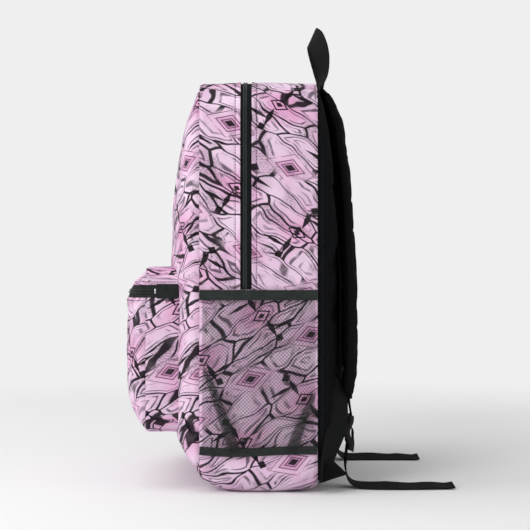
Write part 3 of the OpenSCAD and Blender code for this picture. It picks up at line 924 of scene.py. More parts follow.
# ---- zip sliders and pulls ----

def slider(name, node, facing, body):
    """Slider body: wide shoulders, a waist and a raised bridge; it fills the CAD slider's box."""
    (x0, y0, z0), (x1, y1, z1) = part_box(node)
    along_x = x1 - x0
    bm = bmesh.new()
    upright = facing == "front"
    wide = (z1 - z0) if upright else (y1 - y0)
    tall = (y1 - y0) if upright else (z1 - z0)
    outline = [(-0.5, -0.3), (-0.42, -0.46), (-0.1, -0.5), (0.25, -0.42), (0.44, -0.36), (0.5, -0.2)]
    outline += [(a, -b) for a, b in reversed(outline)]
    for base, top, share in ((0.0, 0.16, 1.0), (0.34, 0.52, 0.94)):
        rows = []
        for height, k in ((base, 0.93), (base + 0.03, 1.0), (top - 0.03, 1.0), (top, 0.9)):
            rows.append([bm.verts.new((a * along_x * share * k, b * wide * share * k, height * tall))
                         for a, b in outline])
        loft(bm, rows)
    box_mesh(bm, (along_x * 0.16, wide * 0.3, tall * 0.34), (-0.34 * along_x, 0, tall * 0.26))
    obj = add_from(bm, name, DARK_METAL)
    arch = spline([(-0.36, 0, 0.48), (-0.34, 0, 0.8), (-0.12, 0, 0.97), (0.14, 0, 0.97),
                   (0.32, 0, 0.82), (0.36, 0, 0.48)], 16) * (along_x, 1, tall)
    bridge = sweep(name + "_bridge", arch, (0, 1, 0), oval_profile(wide * 0.3, tall * 0.12, 10), DARK_METAL)
    merge(obj, bridge)
    if upright:
        turn_mesh(obj, ((1, 0, 0), (0, 0, -1), (0, 1, 0)))
        move_mesh(obj, ((x0 + x1) / 2, y1, (z0 + z1) / 2))
    else:
        if facing == "left":
            turn_mesh(obj, ((-1, 0, 0), (0, -1, 0), (0, 0, 1)))
        move_mesh(obj, ((x0 + x1) / 2, (y0 + y1) / 2, z0))
    put(obj, body, node, slot="zip_metal")


def add_from(bm, name, material):
    mesh = bpy.data.meshes.new(name)
    bmesh.ops.recalc_face_normals(bm, faces=bm.faces)
    bm.to_mesh(mesh)
    bm.free()
    mesh.uv_layers.new(name="UVMap")
    mesh.materials.append(material)
    return sharpen(link(bpy.data.objects.new(name, mesh)), 40)


def merge(obj, *others):
    """Joins pieces that are one part."""
    bpy.ops.object.select_all(action="DESELECT")
    for o in (obj, *others):
        o.select_set(True)
    bpy.context.view_layer.objects.active = obj
    bpy.ops.object.join()
    return obj


def coords(obj):
    co = np.empty(len(obj.data.vertices) * 3)
    obj.data.vertices.foreach_get("co", co)
    return co.reshape(-1, 3)


def set_coords(obj, points):
    obj.data.vertices.foreach_set("co", np.asarray(points).ravel())
    obj.data.update()
    return obj


def turn_mesh(obj, rows):
    set_coords(obj, coords(obj) @ np.array(rows, float).T)
    return outward(obj)


def move_mesh(obj, by):
    return set_coords(obj, coords(obj) + np.array(by))


def pull(name, node, facing, body):
    """Flat moulded pull with a waist, a grip end with ridges and a cord eye."""
    (x0, y0, z0), (x1, y1, z1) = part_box(node)
    length = x1 - x0
    upright = facing == "front"
    wide = (z1 - z0) if upright else (y1 - y0)
    thick = (y1 - y0) if upright else (z1 - z0)
    u = np.linspace(0, 1, 25)
    width = wide * np.interp(u, [0, 0.04, 0.1, 0.22, 0.42, 0.9, 0.97, 1],
                             [0.45, 0.72, 0.8, 0.6, 0.94, 1, 0.8, 0.5])
    grip = smooth((u - 0.42) / 0.08) * (1 - smooth((u - 0.86) / 0.06))
    height = thick * (0.72 + 0.28 * grip * (0.5 + 0.5 * np.sin(u * 92)))
    profile = oval_profile(1, 1, 16, 0.5)
    profile = np.vstack([profile, profile[:1]])[None]
    points = np.stack(np.broadcast_arrays(
        (u * length)[:, None], width[:, None] * profile[..., 0], height[:, None] * profile[..., 1]), -1)
    obj = sharpen(tube(name, points, RUBBER))
    if facing == "left":
        turn_mesh(obj, ((-1, 0, 0), (0, -1, 0), (0, 0, 1)))
        move_mesh(obj, (x1, (y0 + y1) / 2, (z0 + z1) / 2))
    elif upright:
        turn_mesh(obj, ((1, 0, 0), (0, 0, -1), (0, 1, 0)))
        move_mesh(obj, (x0, (y0 + y1) / 2, (z0 + z1) / 2))
    else:
        move_mesh(obj, (x0, (y0 + y1) / 2, (z0 + z1) / 2))
    put(obj, body, node, slot="pull_rubber")


for side, sign in SIDES:
    slider(f"main_slider_{side}_body", f"main_slider_{side}", side, f"slider_{side}")
    pull(f"main_pull_{side}_tab", f"main_pull_{side}", side, f"pull_{side}")


# ---- front pocket ----

POCKET_DEPTH = POCKET_SEAM - POCKET_CREST
POCKET_TOP_R, POCKET_BASE_R = 24 * MM, 22 * MM
TAB_FRONT = low("pocket_zip_end_tabs", 1)


POCKET_SPREAD = 14 * MM


def pocket_dome():
    rings = dome_rings(POCKET_HALF, POCKET_Z0, POCKET_Z1, POCKET_TOP_R, POCKET_BASE_R, POCKET_DEPTH,
                       (0.062, 0.077, 0.062), 22)
    normal = ring_normals(rings[0][:, :2])
    z = rings[..., 1]
    rings[..., 2] *= eased(POCKET_Z1 - z, 14 * MM, 1.5) * eased(z - POCKET_Z0, 16 * MM, 1.2)
    rings[..., 2] *= 0.87 + 0.13 * smooth((z - 195 * MM) / (17 * MM))
    rings[..., :2] -= normal[None] * 1.2 * MM * bump(rings[..., 2:], 2 * MM)
    rim = np.linalg.norm(rings - rings[0][None], axis=2)
    s = arclength(rings[0][:, :2])[None, :]
    rings[..., 2] += wrinkle(rings, 1.2 * MM) * smooth(rim / (20 * MM)) + pucker(s, rim, 11 * MM)
    return dome_object("pocket_dome", rings, POCKET_SEAM, -1, PRINT_MIRROR)


def pocket_wall():
    """The pocket's own side strip, from the front panel out to the pocket's seam."""
    outline = ring(POCKET_HALF, POCKET_Z0, POCKET_Z1, POCKET_TOP_R, POCKET_BASE_R)
    normal = ring_normals(outline)
    s = arclength(outline)
    x, z = outline[:, 0], outline[:, 1]
    start = SEAM_FRONT - front_depth(x, z) + 2.5 * MM
    f = np.linspace(0, 1, 13)[:, None]
    y = start[None] + (POCKET_SEAM - start)[None] * f
    off = -1.2 * MM * bump(y - POCKET_SEAM, 2 * MM) + pucker(s[None], np.abs(y - POCKET_SEAM), 11 * MM)
    points = np.stack([x + 0 * y, y, z + 0 * y], -1)
    off = off + wrinkle(points, 1.0 * MM) * np.sin(np.pi * f)
    points[..., 0] += normal[None, :, 0] * off
    points[..., 2] += normal[None, :, 1] * off
    reach = POCKET_SPREAD + (y - POCKET_SEAM)
    uvs = outline[None] + normal[None] * reach[..., None]
    return weld(grid_object("pocket_wall", points[::-1], uvs[::-1], PRINT_MIRROR), 1e-6)


def cut_above(obj, name, z, keep_above):
    part = obj.copy()
    part.data = obj.data.copy()
    part.name = name
    link(part)

    def work(bm):
        bmesh.ops.bisect_plane(bm, geom=bm.verts[:] + bm.edges[:] + bm.faces[:], plane_co=(0, 0, z),
                               plane_no=(0, 0, 1), clear_inner=keep_above, clear_outer=not keep_above)
    return edit(part, work)


def section(objects, z, n=260):
    """Where upright pieces cross height z, in order round the pocket's front from -X to +X."""
    found = []
    for obj in objects:
        bm = bmesh.new()
        bm.from_mesh(obj.data)
        cut = bmesh.ops.bisect_plane(bm, geom=bm.verts[:] + bm.edges[:] + bm.faces[:], plane_co=(0, 0, z),
                                     plane_no=(0, 0, 1))["geom_cut"]
        found += [tuple(v.co) for v in cut if isinstance(v, bmesh.types.BMVert)]
        bm.free()
    found = np.array(found)
    order = np.argsort(np.arctan2(found[:, 0], -(found[:, 1] + 85 * MM)))
    return resample(found[order], n)


def horizontal_out(path):
    t = unit(np.gradient(path, axis=0) * (1, 1, 0))
    return np.stack([t[:, 1], -t[:, 0], 0 * t[:, 0]], -1)


dome, side_wall = pocket_dome(), pocket_wall()


def put_lid(obj, *nodes, slot):
    """Fabric at the pocket's lid, baked in place through put_blend."""
    put_blend(obj, ("bag", "pocket_top"), ((0, -101 * MM, POCKET_Z1), (0, -117 * MM, POCKET_Z1)), *nodes,
              slot=slot)


put(thicken(cut_above(dome, "pocket_panel", POCKET_BAND[0], False)), "bag", "pocket_front_panel",
    slot="printed_fabric")
put(thicken(cut_above(side_wall, "pocket_side_strip", POCKET_BAND[0], False)), "bag", "pocket_gusset",
    slot="printed_fabric")
for name, source in (("pocket_lid_front", dome), ("pocket_lid_strip", side_wall)):
    put_lid(thicken(cut_above(source, name, POCKET_BAND[1], True)), "pocket_lid", slot="printed_fabric")


def pocket_zip():
    heights = {}

    def at(z):
        if z not in heights:
            heights[z] = section((dome, side_wall), z)
        return heights[z]

    for half, z_cut, z_coil in (("lower", POCKET_BAND[0] - 3 * MM, POCKET_ZIP_Z - 0.15 * MM),
                                ("upper", POCKET_BAND[1] + 3 * MM, POCKET_ZIP_Z + 0.15 * MM)):
        rows = np.array([at(z) for z in np.linspace(z_cut, z_coil, 5)])
        rows = np.array([row - horizontal_out(row) * 1.1 * MM for row in rows])
        if half == "upper":
            rows = rows[::-1]
        s = arclength(rows[2])
        uvs = np.stack([rows[..., 2], s[None] + 0 * rows[..., 2]], -1)
        tape = thicken(grid_object(f"pocket_zip_{half}_tape_run", rows[::-1], uvs[::-1], TAPE_GREY), 0.7 * MM)
        path = at(z_coil + (1.1 * MM if half == "upper" else -1.1 * MM))
        out = horizontal_out(path)
        keep = path[:, 1] < TAB_FRONT - 4 * MM
        coil = teeth(f"pocket_zip_{half}_teeth", (path - out * 0.8 * MM)[keep], out[keep], 1.9 * MM, 1.2 * MM)
        edge = at(POCKET_BAND[0] - 3.2 * MM if half == "lower" else POCKET_BAND[1] + 3.2 * MM)
        seam = stitches(f"pocket_zip_{half}_stitching", edge, horizontal_out(edge))
        pieces = ((tape, "zip_tape", f"pocket_zip_{half}_tape"),
                  (coil, "zip_coil", f"pocket_zip_{half}_coil"), (seam, "printed_fabric"))
        for piece, finish, *nodes in pieces:
            if half == "lower":
                put(piece, "bag", *nodes, slot=finish)
            else:
                put_lid(piece, *nodes, slot=finish)


pocket_zip()


def pocket_ends():
    """Ribbon tabs over the pocket zip's ends, with a metal stop in front of each."""
    tabs, stops = [], []
    y0, y1 = low("pocket_zip_end_tabs", 1), high("pocket_zip_end_tabs", 1) + 3 * MM
    for side, sign in SIDES:
        y = np.linspace(y1, y0, 9)
        centre = np.stack([sign * (POCKET_HALF + 1.0 * MM + 0.5 * MM * np.sin(np.linspace(0, np.pi, 9))), y,
                           np.full(9, POCKET_ZIP_Z)], 1)
        tabs.append(sweep(f"pocket_tab_{side}", centre, (0, 0, 1), web_profile(16 * MM, 1.2 * MM), RIBBON))
        path = np.stack([np.full(30, sign * (POCKET_HALF + 1.5 * MM)), np.full(30, y0 + 2.2 * MM),
                         np.linspace(POCKET_ZIP_Z - 6 * MM, POCKET_ZIP_Z + 6 * MM, 30)], 1)
        up = np.tile((float(sign), 0, 0), (30, 1))
        tabs.append(stitches(f"pocket_tab_stitch_{side}", path, up, BLACK_THREAD))
        ring_path = np.stack([np.full(13, sign * (POCKET_HALF + 0.4 * MM)), np.full(13, y0 - 2 * MM),
                              np.linspace(POCKET_ZIP_Z - 2.4 * MM, POCKET_ZIP_Z + 2.4 * MM, 13)], 1)
        ring_path[:, 0] += sign * 0.8 * MM * np.sin(np.linspace(0, np.pi, 13))
        stops.append(sweep(f"pocket_stop_{side}", ring_path, (0, 1, 0),
                           oval_profile(2.2 * MM, 1.2 * MM, 12), METAL))
    tab = merge(tabs[0], *tabs[1:])
    tab.name = "pocket_zip_tabs"
    stop = merge(stops[0], *stops[1:])
    stop.name = "pocket_zip_stops"
    put(tab, "bag", "pocket_zip_end_tabs", slot="binding")
    put(stop, "bag", "pocket_zip_end_stops", slot="zip_metal")


pocket_ends()
for spare in (dome, side_wall):
    bpy.data.objects.remove(spare)
slider("pocket_slider_body", "pocket_slider", "front", "pocket_slider")
pull("pocket_pull_tab", "pocket_pull", "front", "pocket_pull")


# ---- side net pockets ----

def net_bulge(y, z):
    """How far the net stands off the side strip."""
    across = np.clip(np.sin(np.pi * np.clip((y - SEAM_FRONT) / (SEAM_REAR - SEAM_FRONT), 0, 1)), 0, 1) ** 0.6
    up = np.interp(z, [35 * MM, 48 * MM, 75 * MM, 130 * MM, 190 * MM, 221 * MM],
                   [0.6 * MM, 1.2 * MM, 4.6 * MM, 6.0 * MM, 4.2 * MM, 2.2 * MM])
    return 0.5 * MM + up * across


def net_point(sign, y, z, off=0.0):
    s = np.where(sign > 0, at_height(z), at_height(z, False))
    return wall(s, y, net_bulge(y, z) + off)


# each pleat from its foot to its tip, in depth and height; it lies in three layers (shift y, shift z, lift)
PLEATS = (((-25 * MM, 44 * MM), (-58 * MM, 136 * MM)), ((35 * MM, 44 * MM), (61 * MM, 110 * MM)))
PLEAT_LAYERS = ((0.8, 0.5, 0.9), (0.4, 1.3, 1.6), (1.3, 1.0, 2.3))
NET_PITCH, PLEAT_PITCH, YARN_R, NET_W = 3.9 * MM, 2.9 * MM, 0.22 * MM, 140 * MM


def net(name, side, sign):
    y_low, y_high = SEAM_FRONT + 1 * MM, SEAM_REAR - 1 * MM
    z_low, z_high = low(f"mesh_binding_{side}", 2) + 2 * MM, high(f"mesh_band_{side}", 2) - 3 * MM
    starts, ends = [], []

    def lay(y0, z0, off, inside, pitch=NET_PITCH):
        rows, columns = int((z_high - z_low) / pitch * 2) + 2, int(NET_W / pitch * 2)
        j, i = np.meshgrid(np.arange(rows), np.arange(-2, columns), indexing="ij")
        even = (i + j) % 2 == 0
        y = y0 + i[even] * pitch / 2
        z = z0 + j[even] * pitch / 2
        for way in (-1, 1):
            y1, z1 = y + way * pitch / 2, z + pitch / 2
            ok = (np.minimum(y, y1) > y_low) & (np.maximum(y, y1) < y_high) & (z1 < z_high) & (z > z_low)
            ok &= inside((y + y1) / 2, (z + z1) / 2)
            lift = off + 0.12 * MM * way
            starts.append(net_point(sign, y[ok], z[ok], lift))
            ends.append(net_point(sign, y1[ok], z1[ok], lift))

    lay(y_low, z_low, 0.0, lambda y, z: np.ones_like(y, bool))
    for (ya, za), (yb, zb) in PLEATS:
        for n, (dy, dz, off) in enumerate(PLEAT_LAYERS):
            def wedge(y, z, ya=ya, yb=yb, zb=zb, n=n):
                t = (z - za) / (zb - za)
                middle = ya + (yb - ya) * (t - 0.18 * t * (1 - t))
                width = (14.5 - 1.2 * n) * MM * np.clip(1 - t, 0, 1) ** 0.35
                return (np.abs(y - middle) < width / 2) & (t < 1)
            lay(y_low + dy * MM, z_low + dz * MM, off * MM, wedge, PLEAT_PITCH)
    a, b = np.vstack(starts), np.vstack(ends)
    along = unit(b - a)
    up = np.tile((float(sign), 0.0, 0.0), (len(a), 1))
    across = unit(np.cross(along, up))
    up = np.cross(across, along)
    corner = YARN_R * np.array([(1, 0), (-0.5, 0.87), (-0.5, -0.87)])
    about = across[:, None] * corner[None, :, 0:1] + up[:, None] * corner[None, :, 1:2]
    points = np.concatenate([a[:, None] + about, b[:, None] + about], 1)
    sides = ((0, 1, 4, 3), (1, 2, 5, 4), (2, 0, 3, 5))
    faces = [[6 * k + i for i in side] for k in range(len(a)) for side in sides]
    obj = add_object(name, points.reshape(-1, 3), faces, np.zeros((len(a) * 6, 2)), NET)
    obj.data.shade_smooth()
    return obj


def band(name, sign, z0, z1, thickness, lift, material, gather=0.0, sag=0.0):
    """A strip across the side pocket, with its own thickness, a slight gather and a slight sag."""
    n = 60
    y = np.linspace(SEAM_FRONT + 0.5 * MM, SEAM_REAR - 0.5 * MM, n)
    z = (z0 + z1) / 2 - sag * np.sin((y - SEAM_FRONT) / (SEAM_REAR - SEAM_FRONT) * 5.6)
    centre = net_point(sign, y, z, lift + gather * np.sin(y / (2.1 * MM)))
    if sign > 0:
        centre = centre[::-1]
    return sweep(name, centre, (0, 0, 1), web_profile(z1 - z0, thickness, 12), material)


for side, sign in SIDES:
    put(net(f"side_net_{side}", side, sign), "bag", f"side_mesh_{side}", slot="side_net")
    band_z = low(f"mesh_band_{side}", 2), high(f"mesh_band_{side}", 2)
    hem_z = low(f"mesh_binding_{side}", 2), high(f"mesh_binding_{side}", 2)
    put(band(f"net_band_{side}", sign, *band_z, 1.8 * MM, 0.7 * MM, ELASTIC, 0.12 * MM), "bag",
        f"mesh_band_{side}", slot="elastic")
    put(band(f"net_hem_{side}", sign, *hem_z, 1.5 * MM, 0.9 * MM, ELASTIC, 0, 1.3 * MM), "bag",
        f"mesh_binding_{side}", slot="binding")


# ---- back panel ----

BACK_DEPTHS = np.array([0, 9, 13.5, 17.5, 20.5]) * MM
BACK_INSETS = np.array([[0, 3, 8, 20, 44], [0, 45, 78, 118, 170], [0, 0, 4, 20, 52]]) * MM
CHANNEL_X = 46 * MM


def back_rings(shrink=0.0, depth_scale=1.0, steps=40):
    rings = []
    for k in range(steps + 1):
        t = (k / steps) ** 1.4
        d = BACK_DEPTHS[-1] * (1 - (1 - t) ** 1.6) ** 0.62
        side, top, bottom = (np.interp(d, BACK_DEPTHS, row) for row in BACK_INSETS)
        side, top, bottom = side + shrink, top + shrink, bottom + shrink
        r = ring(HALF_W - 1 * MM - side, 11 * MM + bottom, BODY_H - 1 * MM - top,
                 max(14 * MM, TOP_R - side), max(12 * MM, BASE_R - side))
        rings.append(np.column_stack([r, np.full(len(r), d * depth_scale)]))
    inner = rings[-1]
    centre = inner[:-1].mean(0)
    for f in np.linspace(1, 0, 22)[1:]:
        rings.append(centre + (inner - centre) * (f, f, 1))
    return np.array(rings)


def back_panel():
    """Padded air-mesh back with two long quilted channels."""
    half_x, z0, z1 = HALF_W - 1.5 * MM, 12 * MM, BODY_H - 1.5 * MM
    rings = back_rings()
    x, z, depth = rings[-1, 0]
    obj = open_pole(dome_object("back_pad", rings, SEAM_REAR, 1, AIR_MESH), (x, SEAM_REAR + depth, z))
    co = coords(obj)
    x, z = co[:, 0], co[:, 2]
    rim = np.minimum.reduce([half_x - np.abs(x), z1 - z, z - z0])
    inner = smooth(rim / (30 * MM))
    groove = bump(np.abs(x) - CHANNEL_X, 5 * MM) * smooth((z - 55 * MM) / (30 * MM)) \
        * (1 - smooth((z - 360 * MM) / (30 * MM)))
    cross = bump(z - 120 * MM, 5 * MM) * (1 - smooth((np.abs(x) - CHANNEL_X + 10 * MM) / (12 * MM)))
    co[:, 1] -= 4.2 * MM * np.maximum(groove, cross) * inner
    co[:, 1] += wrinkle(co, 0.9 * MM) * inner
    held = (np.maximum(groove, cross) > 0.75) | (rim < 8 * MM)
    return thicken(puff(set_coords(obj, co), held, 3.5 * MM, 0.015), 1.8 * MM)


put(back_panel(), "bag", "back_panel", slot="back_mesh")


def closed_pad(name, rings, y0, y1, material):
    """A soft slab between two skins of the same outline."""
    front = np.stack([rings[..., 0], y0 + 0 * rings[..., 2], rings[..., 1]], -1)
    back = np.stack([rings[..., 0], y1 + rings[..., 2], rings[..., 1]], -1)
    points = np.concatenate([front[::-1], back]).transpose(1, 0, 2)
    uvs = np.stack([points[..., 0], points[..., 2]], -1)
    return outward(weld(grid_object(name, points, uvs, material), 1e-5))


back_core = back_rings(4 * MM, 0.58)
put(closed_pad("back_pad_foam", back_core, low("back_foam", 1), low("back_foam", 1) + 0.4 * MM, FOAM), "bag",
    "back_foam", slot="foam")


# ---- inside ----

def back_lining():
    """An upright soft sheet with rounded corners and a slight ripple."""
    (_, y, z0), (x1, _, z1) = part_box("back_lining")
    outline = ring(x1, z0, z1, 18 * MM, 18 * MM)
    centre = np.array([0, (z0 + z1) / 2])
    f = np.linspace(1, 0, 14)[:, None, None]
    plan = centre + (outline - centre)[None] * f
    flat = np.stack([plan[..., 0], 0 * plan[..., 0], plan[..., 1]], -1)
    flat[..., 1] = y + wrinkle(flat, 0.3 * MM) * smooth((1 - f[..., 0]) * 6)
    points = flat.transpose(1, 0, 2)[::-1]
    uvs = np.stack([points[..., 0], points[..., 2]], -1)
    return thicken(weld(grid_object("back_lining_sheet", points, uvs, LINING), 1e-5), 0.9 * MM)


put(back_lining(), "bag", "back_lining", slot="lining")


def sleeve():
    (x0, y0, z0), (x1, y1, z1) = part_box("laptop_sleeve")
    outline = ring(x1, z0, z1, 12 * MM, 20 * MM)
    rings = np.array([np.column_stack([(outline - (0, (z0 + z1) / 2)) * f + (0, (z0 + z1) / 2),
                                       np.full(len(outline), (y1 - y0 - 3 * MM) * (1 - f**6) ** 0.5)])
                      for f in (1, 0.995, 0.98, 0.95, 0.9, 0.8, 0.6, 0.4, 0.2, 0.0)])
    return closed_pad("sleeve_pad", rings * (1, 1, -1), y1, y1 - 1 * MM, LINING)


put(sleeve(), "bag", "laptop_sleeve", slot="lining")


def sleeve_edge():
    (x0, y0, z0), (x1, y1, z1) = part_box("sleeve_binding")
    x = np.linspace(x0 + 2 * MM, x1 - 2 * MM, 60)
    centre = np.stack([x, (y0 + y1) / 2 + 0.3 * MM * np.sin(x / (9 * MM)), (z0 + z1) / 2 + 0 * x], 1)
    return sweep("sleeve_edge", centre, (0, 0, 1), oval_profile(z1 - z0, y1 - y0, 16, 0.6), BINDING)


put(sleeve_edge(), "bag", "sleeve_binding", slot="binding")


def board():
    (x0, y0, z0), (x1, y1, z1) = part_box("base_board")
    bm = bmesh.new()
    box_mesh(bm, (x1 - x0, y1 - y0, z1 - z0), ((x0 + x1) / 2, (y0 + y1) / 2, (z0 + z1) / 2))
    bmesh.ops.bevel(bm, geom=[e for e in bm.edges if abs(e.verts[0].co.z - e.verts[1].co.z) > 1e-4],
                    offset=9 * MM, segments=6, affect="EDGES")
    obj = add_from(bm, "base_board_panel", LINING)
    edge = obj.modifiers.new("edge", "BEVEL")
    edge.width = 0.8 * MM
    edge.segments = 2
    edge.limit_method = "ANGLE"
    return sharpen(apply_modifiers(obj), 40)


put(board(), "bag", "base_board", slot="board")


def seam_binding():
    """Bound seam allowance inside the bag, round the back panel."""
    s = np.linspace(at_height(30 * MM), at_height(30 * MM, False), 220)
    y = (low("rear_seam_binding", 1) + high("rear_seam_binding", 1)) / 2
    centre = wall(s, y, -3.4 * MM)
    return sweep("rear_seam_tape", centre, (0, 1, 0), oval_profile(11 * MM, 1.8 * MM, 12, 0.6), BINDING)


put(seam_binding(), "bag", "rear_seam_binding", slot="binding")


# ---- shoulder straps ----

STRAP_FACE = np.array([(72, 449), (80, 441), (89, 424), (95, 407), (99.5, 373), (103, 344), (106, 288),
                       (108.6, 231), (108.6, 140), (107, 118), (104.6, 100)]) * MM
STRAP_TOP, STRAP_LOW = STRAP_FACE[0, 1], STRAP_FACE[-1, 1]
STRAP_X = 60 * MM, 98 * MM
STRAP_HALF, STRAP_END_HALF = 32 * MM, 20 * MM
STRAP_T = 12 * MM
STRAP_EDGE = 4 * MM
STRAP_LINE = resample(spline(STRAP_FACE, 200), 96)
STRAP_S = arclength(STRAP_LINE)


def strap_frame():
    """Centre x, half width, pad thickness and outward normal down the strap."""
    share = np.clip((STRAP_TOP - STRAP_LINE[:, 1]) / (STRAP_TOP - STRAP_LOW), 0, 1)
    x = STRAP_X[0] + (STRAP_X[1] - STRAP_X[0]) * smooth(share)
    end = STRAP_S[-1] - STRAP_S
    half = STRAP_HALF - (STRAP_HALF - STRAP_END_HALF) * share**6
    half = half * np.sqrt(np.clip(1 - (np.clip(1 - end / (16 * MM), 0, 1)) ** 2 * 0.72, 0, 1))
    thick = np.interp(STRAP_S, [0, 10 * MM, 34 * MM], [2.6 * MM, 6.5 * MM, STRAP_T])
    thick = thick * (1 - 0.45 * np.clip(1 - end / (14 * MM), 0, 1) ** 2)
    t = unit(np.gradient(STRAP_LINE, axis=0))
    return x, half, thick, np.stack([0 * x, -t[:, 1], t[:, 0]], 1)


def strap_surface(sign, depth_of):
    """Grid of strap points; depth_of gives the depth under the outer face across the strap."""
    x, half, thick, normal = strap_frame()
    u = np.sin(np.linspace(-1, 1, 25) * math.pi / 2)
    uu, tt = np.meshgrid(u, thick, indexing="ij")
    depth = depth_of(uu, tt)
    points = np.zeros(uu.shape + (3,))
    points[..., 0] = sign * (x[None] + half[None] * uu)
    points[..., 1] = STRAP_LINE[None, :, 0]
    points[..., 2] = STRAP_LINE[None, :, 1]
    return points - normal[None] * depth[..., None], uu


def strap_bow(u, thick):
    """Depth of the outer skin under the strap's face: flat across the middle, rolled over at the edges."""
    return (thick - STRAP_EDGE * np.minimum(1, thick / (9 * MM))) / 2 * (1 - np.sqrt(1 - np.abs(u) ** 3.4))


def strap(side, sign):
    def skin(name, depth_of, material, outer, thickness):
        points, u = strap_surface(sign, depth_of)
        crease = fbm(points * (0.5, 1, 1), 0.03, 5 + sign) * 0.7 * MM * (1 - u**4)
        points[..., 1] += crease * (1 if outer else -1)
        uvs = np.stack([points[..., 0], STRAP_S[None] + 0 * u], -1)
        if (sign > 0) != outer:
            points, uvs = points[::-1], uvs[::-1]
        along = np.broadcast_to(STRAP_S[None], u.shape).ravel()
        held = (np.abs(u).ravel() > 0.86) | (along < 8 * MM) | (along > STRAP_S[-1] - 6 * MM)
        obj = puff(grid_object(name, points, uvs, material), held, 2.2 * MM, 0.04)
        obj = thicken(obj, thickness)
        obj.data.materials[1] = BLACK_WEAVE
        return obj

    cover = skin(f"strap_face_{side}", lambda u, t: strap_bow(u, t), BLACK_WEAVE, True, 1.4 * MM)
    spacer = skin(f"strap_mesh_{side}", lambda u, t: t - strap_bow(u, t), AIR_MESH, False, 1.4 * MM)
    inset, top_gap = 2.7 * MM, 5
    top, _ = strap_surface(sign, lambda u, t: np.minimum(strap_bow(u, t) + inset, t / 2 - 0.2 * MM))
    under, _ = strap_surface(sign, lambda u, t: np.maximum(t - strap_bow(u, t) - inset, t / 2 + 0.2 * MM))
    core = np.concatenate([top[2:-2], under[2:-2][::-1], top[2:3]])[:, top_gap:]
    foam = tube(f"strap_core_{side}", core.transpose(1, 0, 2), FOAM)
    edge, _ = strap_surface(sign, lambda u, t: t / 2 + 0 * u)
    loop = np.vstack([edge[-1][3:], edge[::-1][1:-1, -1], edge[0][3:][::-1]])
    normal = strap_frame()[3]
    facing = np.vstack([normal[3:], np.tile(normal[-1], (edge.shape[0] - 2, 1)), normal[3:][::-1]])
    keep = np.concatenate([[True], np.linalg.norm(np.diff(loop, axis=0), axis=1) > 0.2 * MM])
    both = resample(np.hstack([loop, facing])[keep], 330)
    binding = sweep(f"strap_edge_{side}", both[:, :3], both[:, 3:],
                    oval_profile(7.4 * MM, 3.2 * MM, 14, 0.7), BINDING)
    rim = []
    for across in (2, -3):
        face, _ = strap_surface(sign, lambda u, t: strap_bow(u, t) - 0.1 * MM)
        rim.append(stitches(f"strap_seam_{side}_{across}", face[across][4:-4], normal[4:-4], BLACK_THREAD))
    seam = merge(*rim)
    seam.name = f"strap_stitching_{side}"
    body = f"strap_{side}"
    put(cover, body, f"strap_cover_{side}", slot="black_fabric")
    put(spacer, body, f"strap_spacer_{side}", slot="back_mesh")
    put(foam, body, f"strap_foam_{side}", slot="foam")
    put(binding, body, f"strap_binding_{side}", slot="binding")
    put(seam, body, slot="black_fabric")


for side, sign in SIDES:
    strap(side, sign)


def webbing(name, path, across, n=70):
    """Webbing of the standard width along a path in millimetres."""
    return sweep(name, resample(spline(np.array(path) * MM, 200), n), across, web_profile(), WEBBING)


def turned(directions, n):
    """Width directions spread evenly along a path."""
    return unit(resample(spline(directions, 60), n))


# ---- yoke and carry handle ----

def yoke():
    (x0, y0, z0), (x1, y1, z1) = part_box("strap_yoke")
    outline = ring(x1, z0, z1, 8 * MM, 8 * MM, 30, 6, 8)
    centre = np.array([0, (z0 + z1) / 2])
    f = np.concatenate([1 - np.linspace(0, 1, 12) ** 2 * 0.3, [0.5, 0.25, 0.0]])[:, None, None]
    plan = centre + (outline - centre)[None] * f
    rise = smooth((1 - f[..., 0]) / 0.12)
    slope = (y1 - y0 - 3.4 * MM) * (z1 - plan[..., 1]) / (z1 - z0)
    rings = np.concatenate([plan, (slope + 1.4 * MM * rise)[..., None]], -1)
    obj = thicken(dome_object("yoke_patch", rings, y0 + 1.2 * MM, 1, BLACK_WEAVE), 1.4 * MM)
    put(obj, "bag", "strap_yoke", slot="black_fabric")
    line = np.stack([rings[6, :, 0], y0 + 1.3 * MM + rings[6, :, 2], rings[6, :, 1]], -1)
    up = np.tile((0, 0.97, 0.22), (len(line), 1))
    put(stitches("yoke_stitching", line, up, BLACK_THREAD), "bag", slot="black_fabric")


yoke()


def handle():
    """Webbing loop whose two legs stand side by side and whose crest lies over."""
    half = [(44.5, 71.2, 451.5), (45.0, 75.4, 468), (44.4, 74.6, 484), (40.5, 72.4, 497), (27, 68.0, 511.5),
            (10, 64.8, 518.4)]
    path = half + [(0, 63.8, 519.6)] + [(-x, y, z) for x, y, z in half[::-1]]
    ways = [(1, 0.05, 0), (1, 0.3, 0.02), (0.9, 0.46, 0.1), (0.8, 0.62, 0.2), (0.42, 0.52, 0.55),
            (0.14, 0.44, 0.85)]
    ways = ways + [(0, 0.41, 0.91)] + [(-x, y, z) for x, y, z in ways[::-1]]
    put(webbing("handle_webbing", path, turned(ways, 150), 150), "handle", "carry_handle", slot="webbing")
    for side, sign in SIDES:
        sewn_in = [(sign * 44.5, 69.2, 436), (sign * 44.5, 71, 447), (sign * 44.5, 71.3, 455)]
        put(webbing(f"handle_end_{side}", sewn_in, (1, 0.05 * sign, 0), 14), "bag", slot="webbing")


handle()


# ---- strap ends, locks and webbing ----

